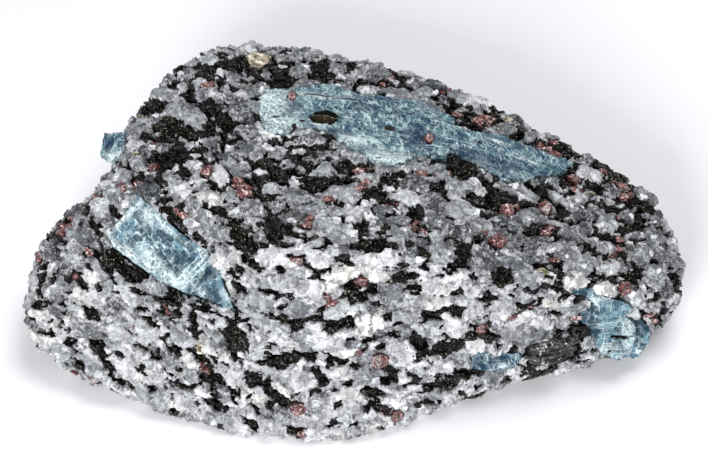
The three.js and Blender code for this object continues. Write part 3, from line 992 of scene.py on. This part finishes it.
def make_skin(seeds):
    """The quartz and feldspar, grown together into one rough skin, sunk where mica and garnet sit in it."""
    mesh = refined_copy("schist_matrix", SKIN_PITCH)
    places = read_vectors(mesh, "co") / MM
    normals = read_vectors(mesh, "normal")
    grains = seeds.grains
    spots = warped(places)
    own, inside = grains.nearest(spots)
    kinds = grains.kinds[own]
    seam = 1 - np.clip(inside / SEAM_WIDTH, 0, 1)
    rise = grains.stands_of(own, spots) - SEAM_DEPTH * seam
    for kind, depth in SUNK.items():
        rise[kinds == kind] += depth
    rise += broken_facets(seeds, places, spots)
    rise += ((places - grains.centres[own]) * grains.tilts[own]).sum(axis=1).clip(-LUMP_RISE, LUMP_RISE)
    close, ways = toward_crystals(places)
    rise = np.where(close > 0, np.clip(rise, *LIP_RISE), rise)
    rise *= np.clip(places[:, 2] / UNDERSIDE, 0, 1)
    shake = rng.uniform(-SKIN_SHAKE, SKIN_SHAKE, places.shape)
    shake -= SHAKE_ALONG_FACE * normals * (shake * normals).sum(axis=1)[:, None]
    places += normals * rise[:, None] + shake + ways * LIP_REACH * smooth_noise(places, 1.1, 142)[:, None]
    places[:, 2] = np.maximum(places[:, 2], FLOOR)
    write_places(mesh, places)
    dark = np.isin(kinds, (BIOTITE, MUSCOVITE, GARNET))
    for label, values in (("tone", grains.tones[own]), ("milky", kinds == FELDSPAR), ("dark", dark),
                          ("seam", seam)):
        store(mesh, label, values)
    return halves(coarser_underside(mesh))


def broken_facets(seeds, places, spots):
    """How each place rises on the tilted face of the cell that it lies in."""
    tree = tree_of(seeds.places)
    tilts = rng.normal(size=(len(seeds.places), 3)) * SLOPE
    owner = np.array([tree.find(spot)[1] for spot in spots])
    rise = ((places - seeds.centres[owner]) * tilts[owner]).sum(axis=1)
    return np.clip(rise, -STEEPEST, STEEPEST)


def coarser_underside(mesh):
    """The same skin with fewer faces on the flat underside, which stands on the floor."""
    rough = placed("rough", mesh)
    under = np.flatnonzero(read_vectors(mesh, "co")[:, 2] < 1.5 * FLOOR * MM)
    group = rough.vertex_groups.new(name="under")
    group.add(under.tolist(), 1.0, "REPLACE")
    fewer = rough.modifiers.new("fewer", "DECIMATE")
    fewer.ratio = 1 - UNDERSIDE_CUT * len(under) / len(mesh.vertices)
    fewer.vertex_group = "under"
    return modified(rough)


def halves(mesh):
    """The skin as a left and a right mesh, each short enough to hand on."""
    made = []
    for side in (-1, 1):
        work = bmesh.new()
        work.from_mesh(mesh)
        away = [face for face in work.faces if side * face.calc_center_median().x < 0]
        bmesh.ops.delete(work, geom=away, context="FACES")
        half = bpy.data.meshes.new("stone_skin")
        work.to_mesh(half)
        work.free()
        shade(half, SKIN_SHARP_FROM)
        made.append(half)
    return made


# ---------------------------------------------------------------- materials


class Material:
    """A node material whose patterns are measured in millimetres on the object itself."""

    def __init__(self, name, vector=None):
        self.material = bpy.data.materials.new(name)
        self.material.use_nodes = True
        self.tree = self.material.node_tree
        self.surface = self.tree.nodes["Principled BSDF"]
        if vector:
            self.place = self.attribute(vector, "Vector")
        else:
            metres = self.node("ShaderNodeTexCoord").outputs["Object"]
            self.place = self.vector_maths("SCALE", metres, 1 / MM)

    def node(self, kind, **settings):
        made = self.tree.nodes.new(kind)
        for key, value in settings.items():
            setattr(made, key, value)
        return made

    def join(self, source, target):
        """Links a socket, or sets a plain value."""
        if isinstance(source, bpy.types.NodeSocket):
            self.tree.links.new(source, target)
        else:
            target.default_value = source

    def attribute(self, name, output="Fac"):
        return self.node("ShaderNodeAttribute", attribute_name=name).outputs[output]

    def turned(self, turn, stretch):
        """The place turned about its third direction and stretched, each stretch being a length in mm."""
        moved = self.node("ShaderNodeMapping")
        self.join(self.place, moved.inputs["Vector"])
        moved.inputs["Rotation"].default_value = (0, 0, turn)
        return self.vector_maths("DIVIDE", moved.outputs[0], stretch)

    def noise(self, size, detail=3.0, rough=0.6, distortion=0.0, vector=None, output="Fac"):
        made = self.node("ShaderNodeTexNoise")
        self.join(vector or self.place, made.inputs["Vector"])
        made.inputs["Scale"].default_value = 1 / size
        made.inputs["Detail"].default_value = detail
        made.inputs["Roughness"].default_value = rough
        made.inputs["Distortion"].default_value = distortion
        return made.outputs[output]

    def uneven(self, size, low, high, detail=3):
        """A value that drifts between two limits."""
        return self.span(self.noise(size, detail), 0.3, 0.7, low, high)

    def cells(self, size, feature="F1", output="Distance", vector=None, distance="EUCLIDEAN", disorder=1.0):
        made = self.node("ShaderNodeTexVoronoi", feature=feature, distance=distance)
        self.join(vector or self.place, made.inputs["Vector"])
        made.inputs["Scale"].default_value = 1 / size
        made.inputs["Randomness"].default_value = disorder
        return made.outputs[output]

    def vector_maths(self, operation, first, second):
        made = self.node("ShaderNodeVectorMath", operation=operation)
        self.join(first, made.inputs[0])
        self.join(second, made.inputs["Scale" if operation == "SCALE" else 1])
        return made.outputs["Value" if operation == "DOT_PRODUCT" else "Vector"]

    def bent(self, vector, size, amount):
        """The place moved about by smooth noise, so that a pattern on it loses its straight lines."""
        waves = self.noise(size, 2, 0.5, 0.0, vector, "Color")
        return self.vector_maths("ADD", vector, self.vector_maths("SCALE", waves, amount))

    def maths(self, operation, first, second=0.0, clamp=False):
        made = self.node("ShaderNodeMath", operation=operation, use_clamp=clamp)
        self.join(first, made.inputs[0])
        self.join(second, made.inputs[1])
        return made.outputs[0]

    def times(self, first, second, clamp=False):
        return self.maths("MULTIPLY", first, second, clamp)

    def span(self, value, low, high, to_low=0.0, to_high=1.0):
        """The value taken from one range to another, and held there."""
        made = self.node("ShaderNodeMapRange", clamp=True)
        for number, source in enumerate((value, low, high, to_low, to_high)):
            self.join(source, made.inputs[number])
        return made.outputs[0]

    def ramp(self, value, stops):
        """A colour for each value, from (position, colour) stops."""
        made = self.node("ShaderNodeValToRGB")
        colours = made.color_ramp.elements
        while len(colours) < len(stops):
            colours.new(0.5)
        for element, (position, colour) in zip(colours, stops):
            element.position = position
            element.color = (*colour, 1)
        self.join(value, made.inputs[0])
        return made.outputs[0]

    def mix(self, share, first, second, blend="MIX"):
        made = self.node("ShaderNodeMix", data_type="RGBA", blend_type=blend)
        for number, source in ((0, share), (6, first), (7, second)):
            self.join((*source, 1) if isinstance(source, tuple) else source, made.inputs[number])
        return made.outputs[2]

    def first_part(self, colour):
        """The first of a colour's three numbers."""
        split = self.node("ShaderNodeSeparateColor")
        self.join(colour, split.inputs[0])
        return split.outputs[0]

    def veins(self, size, width):
        """Thin lines where smooth noise passes through its middle."""
        value = self.noise(size, 4, 0.55, 0.6)
        off = self.maths("ABSOLUTE", self.maths("SUBTRACT", value, 0.5))
        return self.span(off, 0.0, width, 1.0, 0.0)

    def bump(self, *layers):
        """Fine relief from (height, depth in mm) layers."""
        normal = None
        for height, depth in layers:
            made = self.node("ShaderNodeBump")
            made.inputs["Strength"].default_value = 1.0
            made.inputs["Distance"].default_value = depth * MM
            self.join(height, made.inputs["Height"])
            if normal:
                self.join(normal, made.inputs["Normal"])
            normal = made.outputs[0]
        self.join(normal, self.surface.inputs["Normal"])

    def finish(self, **sockets):
        """Sets the shader's own sockets, whose names are given with _ for each space."""
        for name, value in sockets.items():
            target = self.surface.inputs[name.replace("_", " ")]
            self.join((*value, 1) if isinstance(value, tuple) and target.type == "RGBA" else value, target)
        return self.material


# Colours as (position, colour) stops: from dark to light grains for the stone, the lumps and the garnets,
# and across the sheets for mica.
GREY_QUARTZ = ((0.0, (0.035, 0.038, 0.042)), (0.4, (0.11, 0.115, 0.125)), (0.7, (0.25, 0.26, 0.28)),
               (1.0, (0.66, 0.67, 0.68)))
MILKY_FELDSPAR = ((0.0, (0.15, 0.155, 0.175)), (0.35, (0.33, 0.34, 0.365)), (0.75, (0.6, 0.605, 0.625)),
                  (0.94, (0.66, 0.65, 0.615)), (1.0, (0.76, 0.76, 0.76)))
QUARTZ_LUMPS = ((0.0, (0.05, 0.056, 0.068)), (0.5, (0.14, 0.15, 0.175)), (1.0, (0.34, 0.36, 0.4)))
# Garnet crumbs from dark to pale red; the palest stop is a painted glint.
GARNET_REDS_AND_GLINTS = ((0.05, (0.02, 0.006, 0.006)), (0.22, (0.1, 0.02, 0.022)), (0.5, (0.21, 0.065, 0.062)),
               (0.75, (0.34, 0.15, 0.14)), (0.95, (0.8, 0.62, 0.6)))
GOLDEN_SHEETS = ((0.4, (0.012, 0.01, 0.006)), (0.48, (0.22, 0.17, 0.09)), (0.56, (0.6, 0.55, 0.43)),
                 (0.66, (0.85, 0.83, 0.78)))
# Lines along the mica book's sheets; the lighter stops are painted silvery sheen.
SHEET_LINES_AND_SHEEN = ((0.38, (0.005, 0.005, 0.005)), (0.5, (0.032, 0.03, 0.03)), (0.58, (0.12, 0.115, 0.11)),
                  (0.68, (0.38, 0.37, 0.35)))
BROWN_GLASS = ((0.38, (0.006, 0.004, 0.002)), (0.55, (0.022, 0.015, 0.005)), (0.75, (0.12, 0.085, 0.03)))
# Colours of the stone's own marks, from white to black.
WHITE_EDGE = (0.85, 0.86, 0.88)
GLINT = (0.82, 0.83, 0.86)
SUGAR = (0.8, 0.81, 0.84)
PALE_RIM = (0.74, 0.75, 0.78)
GREY_SPECK = (0.08, 0.085, 0.095)
DARK_GAP = (0.03, 0.03, 0.033)
MICA_BLACK = (0.005, 0.0045, 0.004)
# Colours of the other minerals' marks.
QUARTZ_VEIL = (0.62, 0.65, 0.7)
QUARTZ_SPECK = (0.85, 0.87, 0.9)
BIOTITE_BLACK = (0.002, 0.002, 0.002)
BIOTITE_GREY = (0.006, 0.0055, 0.005)
BIOTITE_OLIVE = (0.05, 0.037, 0.014)
BIOTITE_BRONZE = (0.2, 0.17, 0.12)
BIOTITE_GLINT = (0.6, 0.58, 0.5)
# The garnet clefts: painted shade.
GARNET_CLEFT_SHADE = (0.012, 0.005, 0.005)
KYANITE_PIT = (0.015, 0.03, 0.04)
KYANITE_SNOW = (0.74, 0.85, 0.85)
KYANITE_DARK_AND_CRACK_SHADE = (0.015, 0.013, 0.01)
BOOK_GLINT = (0.85, 0.83, 0.8)
EYE_BLACK = (0.004, 0.004, 0.003)
EYE_LINE = (0.6, 0.52, 0.38)


def mottled(look, colour, size, darkest, brightest):
    """The colour darkened and lightened in fine mottles."""
    amount = look.span(look.noise(size, 4, 0.7, 0.4), 0.32, 0.68, darkest, brightest)
    return look.vector_maths("SCALE", colour, amount)


def grain_specks(look, size):
    """A different value from 0 to 1 for each tiny crumb."""
    return look.first_part(look.cells(size, output="Color"))


def broken_faces(look, size):
    """Small flat breaks: a value from 0 to 1 for each, how high its tilt lifts a place, and its edges."""
    place = look.bent(look.place, 1.2, 0.6)
    value = look.cells(size, output="Color", vector=place)
    away = look.vector_maths("SUBTRACT", place, look.cells(size, output="Position", vector=place))
    tilt = look.vector_maths("SUBTRACT", value, (0.5, 0.5, 0.5))
    edges = look.span(look.cells(size, "DISTANCE_TO_EDGE", vector=place), 0.0, 0.07, 1.0, 0.0)
    return look.first_part(value), look.vector_maths("DOT_PRODUCT", away, tilt), edges


def stone_colour(look, face):
    """Grey for quartz and milky white for feldspar, by the tone of the grain, and uneven within it."""
    tone = look.attribute("tone")
    milky = look.span(look.attribute("milky"), 0.4, 0.6)
    colour = look.mix(milky, look.ramp(tone, GREY_QUARTZ), look.ramp(tone, MILKY_FELDSPAR))
    colour = look.vector_maths("SCALE", colour, look.span(face, 0.0, 1.0, 0.62, 1.38))
    return mottled(look, colour, 1.1, 0.65, 1.3)


def with_white_breaks(look, colour, face, edges, speck):
    """Sugary specks, pale rims round the grains, white edges of the small breaks and glints on them."""
    colour = look.mix(look.span(speck, 0.84, 1.0, 0.0, 0.3), colour, SUGAR)
    rim = look.span(look.attribute("seam"), 0.05, 0.35, 0.0, 0.5)
    colour = look.mix(look.times(rim, look.span(look.noise(1.7, 3), 0.4, 0.6)), colour, PALE_RIM)
    edges = look.times(edges, look.span(look.noise(0.9, 3), 0.5, 0.6, 0.0, 0.6))
    colour = look.mix(edges, colour, WHITE_EDGE)
    shine = look.span(look.noise(0.5, 3, 0.7), 0.42, 0.5, 0.2, 0.9)
    return look.mix(look.times(look.span(face, 0.9, 0.93), shine), colour, GLINT)


def with_dark_marks(look, colour, speck):
    """Grey specks, a few white threads, dark gaps between grains, and black where mica or garnet lies."""
    colour = look.mix(look.span(speck, 0.0, 0.16, 0.25, 0.0), colour, GREY_SPECK)
    threads = look.times(look.veins(1.1, 0.035), look.span(look.noise(2.2, 2), 0.45, 0.6, 0.0, 0.7))
    colour = look.mix(threads, colour, WHITE_EDGE)
    gap = look.span(look.attribute("seam"), 0.5, 1.0)
    gap = look.times(gap, look.span(look.noise(1.3, 3), 0.4, 0.55))
    colour = look.mix(look.times(gap, 0.8), colour, DARK_GAP)
    ragged = look.span(look.noise(0.35, 3, 0.7), 0.3, 0.7, -0.2, 0.2)
    sunk = look.span(look.maths("ADD", look.attribute("dark"), ragged), 0.42, 0.58)
    flecks = look.span(look.noise(0.7, 2, 0.5), 0.69, 0.72)
    return look.mix(look.maths("MAXIMUM", sunk, flecks), colour, MICA_BLACK)


def stone_material():
    """Grey glassy quartz and milky feldspar with a sugary break, dark specks and white glints."""
    look = Material("stone")
    face, tilt, edges = broken_faces(look, 1.05)
    speck = grain_specks(look, 0.24)
    colour = with_white_breaks(look, stone_colour(look, face), face, edges, speck)
    colour = with_dark_marks(look, colour, speck)
    look.bump((tilt, 1.0), (look.noise(0.5, 3, 0.6), 0.08), (speck, 0.015))
    return look.finish(Base_Color=colour, Roughness=look.uneven(0.6, 0.1, 0.4), IOR=1.54,
                       Specular_IOR_Level=0.35, Subsurface_Weight=0.15, Subsurface_Radius=(1.0, 1.0, 1.1),
                       Subsurface_Scale=0.3 * MM)


def quartz_material():
    """Clear grey lumps of quartz: dark within, with white veils and a glassy face."""
    look = Material("quartz")
    colour = mottled(look, look.ramp(look.attribute("tone"), QUARTZ_LUMPS), 0.9, 0.55, 1.5)
    veil = look.span(look.noise(0.7, 4, 0.7, 0.8), 0.55, 0.72, 0.0, 0.6)
    colour = look.mix(veil, colour, QUARTZ_VEIL)
    speck = grain_specks(look, 0.2)
    colour = look.mix(look.span(speck, 0.88, 1.0, 0.0, 0.6), colour, QUARTZ_SPECK)
    look.bump((look.noise(0.5, 3, 0.6), 0.08), (speck, 0.015))
    return look.finish(Base_Color=colour, Roughness=look.uneven(0.5, 0.08, 0.35), IOR=1.54,
                       Transmission_Weight=0.35)


def sheet_relief(look, size):
    """Fine lines round a mica grain, across its own axis."""
    along = look.vector_maths("DOT_PRODUCT", look.place, look.attribute("axis", "Vector"))
    level = look.node("ShaderNodeCombineXYZ")
    look.join(look.maths("DIVIDE", along, size), level.inputs[2])
    return look.noise(1.0, 2, 0.6, 0.0, level.outputs[0])


def biotite_material():
    """Black mica: glossy where a sheet lies flat, olive and bronze, with pale specks of painted glint."""
    look = Material("biotite")
    patches = look.span(look.noise(0.8, 3, 0.65, 0.5), 0.56, 0.72)
    base = look.mix(look.attribute("tone"), BIOTITE_BLACK, BIOTITE_GREY)
    colour = look.mix(look.times(patches, 0.6), base, BIOTITE_OLIVE)
    lines = sheet_relief(look, 0.09)
    bronze = look.times(look.span(lines, 0.62, 0.8), look.span(look.noise(2.1, 2), 0.52, 0.62))
    colour = look.mix(look.times(bronze, 0.7), colour, BIOTITE_BRONZE)
    glint = look.span(look.noise(0.3, 3, 0.75, 0.6), 0.61, 0.68, 0.0, 0.9)
    colour = look.mix(glint, colour, BIOTITE_GLINT)
    _, tilt, _ = broken_faces(look, 0.7)
    look.bump((tilt, 0.7), (look.noise(0.6, 3, 0.6), 0.06), (lines, 0.03))
    return look.finish(Base_Color=colour, Roughness=look.uneven(0.5, 0.08, 0.3), IOR=1.6,
                       Specular_IOR_Level=0.09)


def garnet_material():
    """Pink-red garnet with glassy faces, crumbs from dark red to pale pink whose palest are painted glints,
    and dark clefts of painted shade.
    """
    look = Material("garnet")
    speck = grain_specks(look, 0.27)
    shade = look.maths("ADD", speck, look.span(look.attribute("tone"), 0.0, 1.0, -0.18, 0.12))
    # Dark clefts are painted shade, and the palest crumbs of the ramp are painted glints.
    cleft_shade = look.span(look.noise(0.5, 3, 0.7, 0.6), 0.38, 0.46, 0.95, 0.0)
    colour = look.mix(cleft_shade, look.ramp(shade, GARNET_REDS_AND_GLINTS), GARNET_CLEFT_SHADE)
    look.bump((look.noise(0.35, 3, 0.6), 0.1), (speck, 0.05))
    return look.finish(Base_Color=colour, Roughness=look.uneven(0.3, 0.08, 0.35, 2), IOR=1.8)


def muscovite_material(name, vector, stretch):
    """Pale mica with a silvery-gold flash and dark lines along its sheets."""
    look = Material(name, vector)
    lines = look.noise(1.0, 4, 0.7, 0.8, look.turned(0.5, stretch))
    look.bump((look.noise(0.5, 3, 0.6), 0.1), (lines, 0.06))
    return look.finish(Base_Color=look.ramp(lines, GOLDEN_SHEETS), IOR=1.58,
                       Roughness=look.span(lines, 0.3, 0.7, 0.12, 0.4))


def flake_material():
    """The same pale mica, for the small flakes in the stone."""
    return muscovite_material("muscovite", None, (0.9, 0.4, 0.4))


# For each set of cleavage fibres its turn in radians, length and width.
FIBRES = ((1.35, 2.2, 0.2), (0.8, 2.8, 0.22), (-1.15, 1.8, 0.2), (0.1, 2.4, 0.24))


def fibre_net(look, size):
    """Fine whitish cleavage fibres, each set of them crossing the others."""
    net = 0.0
    for turn, length, width in FIBRES:
        lines = look.noise(1.0, 1.5, 0.5, 0.25, look.turned(turn, (length * size, width * size, 1)))
        net = look.maths("MAXIMUM", look.span(lines, 0.57, 0.66), net)
    return net


def crackle(look, size):
    """White right-angled cracks between small panes, and a value from 0 to 1 for each pane."""
    vector = look.bent(look.turned(0.08, (size, size * 0.55, 1.4)), 0.6, 0.16)
    settings = {"vector": vector, "distance": "CHEBYCHEV", "disorder": 0.62}
    apart = look.maths("SUBTRACT", look.cells(1.0, "F2", **settings), look.cells(1.0, **settings))
    lines = look.span(apart, 0.02, 0.1, 1.0, 0.0)
    lines = look.times(lines, look.span(look.noise(0.8, 3), 0.4, 0.5, 0.4, 1.0))
    return lines, look.first_part(look.cells(1.0, output="Color", **settings))


def kyanite_blues(look, blues, depth, pane, fibre_size, pane_share):
    """Patches of deeper and paler blue, uneven from pane to pane."""
    deep, middle, pale = blues
    patch = look.noise(1.0, 4, 0.65, 0.7, look.turned(0.0, (2.6 * fibre_size, 1.4 * fibre_size, 2)))
    patch = look.maths("ADD", patch, look.span(pane, 0.0, 1.0, -0.16 * pane_share, 0.16 * pane_share))
    return look.mix(depth, look.ramp(patch, ((0.38, deep), (0.5, middle), (0.64, pale))), deep)


def kyanite_material(name, blues, fibre, net_share, fibre_size, pane_size, pane_share):
    """Blue kyanite: patches of deeper and paler blue under whitish fibres and right-angled cracks."""
    look = Material(name, "place")
    lines, pane = crackle(look, pane_size)
    depth = look.span(pane, 0.0, 1.0, 0.3 * pane_share, -0.3 * pane_share)
    depth = look.span(look.maths("ADD", look.attribute("deep"), depth), 0.25, 0.45)
    colour = kyanite_blues(look, blues, depth, pane, fibre_size, pane_share)
    net = look.times(fibre_net(look, fibre_size), net_share)
    threads = look.maths("MAXIMUM", net, look.times(lines, pane_share))
    cloud = look.span(look.noise(1.6, 4, 0.7, 0.4), 0.4, 0.56, 0.2, 1.1)
    cloud = look.times(cloud, look.span(depth, 0.0, 1.0, 1.0, 0.5))
    colour = look.mix(look.times(threads, cloud), colour, fibre)
    pits = look.span(look.noise(0.45, 3, 0.6), 0.62, 0.7, 0.0, 0.5)
    colour = look.mix(pits, colour, KYANITE_PIT)
    frost = look.span(look.noise(0.45, 4, 0.75, 0.5), 0.44, 0.54)
    snow = look.times(look.attribute("white"), look.span(frost, 0.0, 1.0, 0.1, 1.2))
    colour = look.mix(look.times(snow, 0.95, clamp=True), colour, KYANITE_SNOW)
    # The dark marks are dark things in the crystal, and painted shade along its cracks.
    colour = look.mix(look.span(look.attribute("dark"), 0.15, 0.5), colour, KYANITE_DARK_AND_CRACK_SHADE)
    look.bump((look.noise(0.4, 4, 0.65), 0.08), (threads, 0.05))
    return look.finish(Base_Color=colour, Roughness=look.uneven(0.6, 0.2, 0.45), IOR=1.72,
                       Specular_IOR_Level=0.13)


def book_material():
    """The mica book: black, wavy lines along its sheets in painted silvery sheen, and glints where it is
    bright.
    """
    look = Material("biotite_book", "place")
    wavy = look.noise(1.0, 4, 0.7, 0.8, look.turned(0.0, (3.2, 1.2, 0.17)))
    likely = look.times(look.attribute("white"), 0.16)
    glint = look.span(look.maths("ADD", look.noise(0.6, 4, 0.7, 0.5), likely), 0.62, 0.66, 0.0, 0.95)
    colour = look.mix(glint, look.ramp(wavy, SHEET_LINES_AND_SHEEN), BOOK_GLINT)
    look.bump((wavy, 0.14))
    return look.finish(Base_Color=colour, Roughness=look.span(wavy, 0.3, 0.7, 0.15, 0.45), IOR=1.6,
                       Specular_IOR_Level=0.25)


def eye_material():
    """Glassy mica: black above its split, a pale line along it and olive-brown below."""
    look = Material("biotite_eye", "place")
    split = look.node("ShaderNodeSeparateXYZ")
    look.join(look.place, split.inputs[0])
    across = look.maths("ADD", split.outputs[1], look.uneven(0.8, -0.15, 0.15, 2))
    brown = look.ramp(look.noise(1.0, 3, 0.6, 0.5), BROWN_GLASS)
    colour = look.mix(look.span(across, 0.05, 0.2), brown, EYE_BLACK)
    line = look.span(look.maths("ABSOLUTE", look.maths("SUBTRACT", across, 0.12)), 0.07, 0.15, 0.8, 0.0)
    colour = look.mix(line, colour, EYE_LINE)
    look.bump((look.noise(0.7, 2), 0.03))
    return look.finish(Base_Color=colour, Roughness=0.1, IOR=1.6, Specular_IOR_Level=0.2)


# ---------------------------------------------------------------- the whole specimen

# For each mineral: the piece, its slot, its material and the edge angle from which it is sharp.
GRAIN_PIECES = {
    QUARTZ: ("quartz_grains", "quartz", quartz_material, 12),
    BIOTITE: ("biotite_flakes", "biotite", biotite_material, 14),
    GARNET: ("small_garnets", "garnet", garnet_material, 6),
    MUSCOVITE: ("muscovite_flakes", "muscovite", flake_material, 20),
}


def build_stone():
    """The stone: a skin of quartz and feldspar, with mica, garnet and glassy quartz set in it."""
    seeds = Seeds()
    look = stone_material()
    for side, mesh in zip(("left", "right"), make_skin(seeds)):
        add_piece("stone_skin_" + side, mesh, ["schist_matrix"], look)
    for kind, grains in make_grains(seeds).items():
        name, slot, material, sharp_from = GRAIN_PIECES[kind]
        add_piece(name, grains.mesh(name, sharp_from), ["schist_matrix"], material())


# Kyanite from its deepest to its palest blue, and the colour of its fibres and cracks.
TEAL_BLUES = ((0.004, 0.03, 0.075), (0.014, 0.06, 0.105), (0.045, 0.145, 0.195))
AQUA_BLUES = ((0.01, 0.045, 0.075), (0.032, 0.105, 0.165), (0.13, 0.265, 0.335))
FROST = (0.52, 0.68, 0.69)
ICE = (0.7, 0.84, 0.87)


def build_crystals():
    """Each crystal, finer than its CAD node and in its own finish."""
    teal = kyanite_material("kyanite_teal", TEAL_BLUES, FROST, net_share=0.9, fibre_size=1.0,
                            pane_size=2.2, pane_share=0.35)
    aqua = kyanite_material("kyanite_aqua", AQUA_BLUES, ICE, net_share=0.45, fibre_size=0.6,
                            pane_size=1.6, pane_share=0.95)
    gold = muscovite_material("golden_mica", "place", (1.8, 0.5, 0.4))
    crystals = (
        ("kyanite_long_blade", make_long_blade, "kyanite", teal),
        ("kyanite_front_blade", make_front_blade, "pale_kyanite", aqua),
        ("kyanite_small_blade", make_small_blade, "kyanite", teal),
        ("kyanite_left_tip", make_left_tip, "kyanite", teal),
        ("kyanite_corner_crystals", make_corner_crystals, "pale_kyanite", aqua),
        ("biotite_book", make_biotite_book, "biotite", book_material()),
        ("biotite_eye", make_biotite_eye, "biotite", eye_material()),
        ("golden_mica", make_golden_mica, "muscovite", gold),
    )
    for node, make, slot, material in crystals:
        add_piece(node + "_crystal", make(), [node], material)
    material = garnet_material()
    for node in GARNETS:
        add_piece(node + "_crystal", make_garnet(node), [node], material)


# ---------------------------------------------------------------- camera, floor and light

CAMERA_ELEVATION = math.radians(49.5)
CAMERA_DISTANCE = 300
CAMERA_LENS = 103.8
LOOK_AT = (-0.33, -2.61, 14)
FLOOR_HALF_WIDTH = 600
FLOOR_COLOUR = (0.88, 0.88, 0.9)
# For each lamp: its name, place, width and power in watts.
LAMPS = (("key", (-140, -420, 260), 150, 2.0), ("top", (80, 60, 420), 200, 0.95))
LIT_MIDDLE = (0, 0, 12)
SURROUND_COLOUR = (0.95, 0.97, 1, 1)
SURROUND_STRENGTH = 0.42


def aimed(thing, place, target):
    """Puts a camera or a lamp at a place, looking at the target, both in millimetres."""
    holder = placed(thing.name, thing)
    place, target = Vector(place) * MM, Vector(target) * MM
    holder.location = place
    holder.rotation_euler = (target - place).to_track_quat("-Z", "Y").to_euler()
    return holder


def make_camera():
    camera = bpy.data.cameras.new("camera")
    camera.lens = CAMERA_LENS
    camera.clip_start = 0.01
    back = np.array((0, -math.cos(CAMERA_ELEVATION), math.sin(CAMERA_ELEVATION)))
    place = np.array(LOOK_AT) + back * CAMERA_DISTANCE
    bpy.context.scene.camera = aimed(camera, place, LOOK_AT)


def make_floor():
    """The plain pale floor."""
    mesh = bpy.data.meshes.new("floor")
    reach = FLOOR_HALF_WIDTH * MM
    mesh.from_pydata([(-reach, -reach, 0), (reach, -reach, 0), (reach, reach, 0), (-reach, reach, 0)],
                     [], [(0, 1, 2, 3)])
    floor = placed("floor", mesh)
    look = Material("floor")
    floor.data.materials.append(look.finish(Base_Color=FLOOR_COLOUR, Roughness=0.7))


def make_lights():
    """Soft studio light: a broad key from the front left, a weaker top light and a white surround."""
    for name, place, size, power in LAMPS:
        lamp = bpy.data.lights.new(name, "AREA")
        lamp.size = size * MM
        lamp.energy = power
        aimed(lamp, place, LIT_MIDDLE)
    world = bpy.data.worlds.new("surround")
    world.use_nodes = True
    backdrop = world.node_tree.nodes["Background"]
    backdrop.inputs["Color"].default_value = SURROUND_COLOUR
    backdrop.inputs["Strength"].default_value = SURROUND_STRENGTH
    bpy.context.scene.world = world
    bpy.context.scene.view_settings.view_transform = "Standard"


build_stone()
build_crystals()
make_camera()
make_floor()
make_lights()
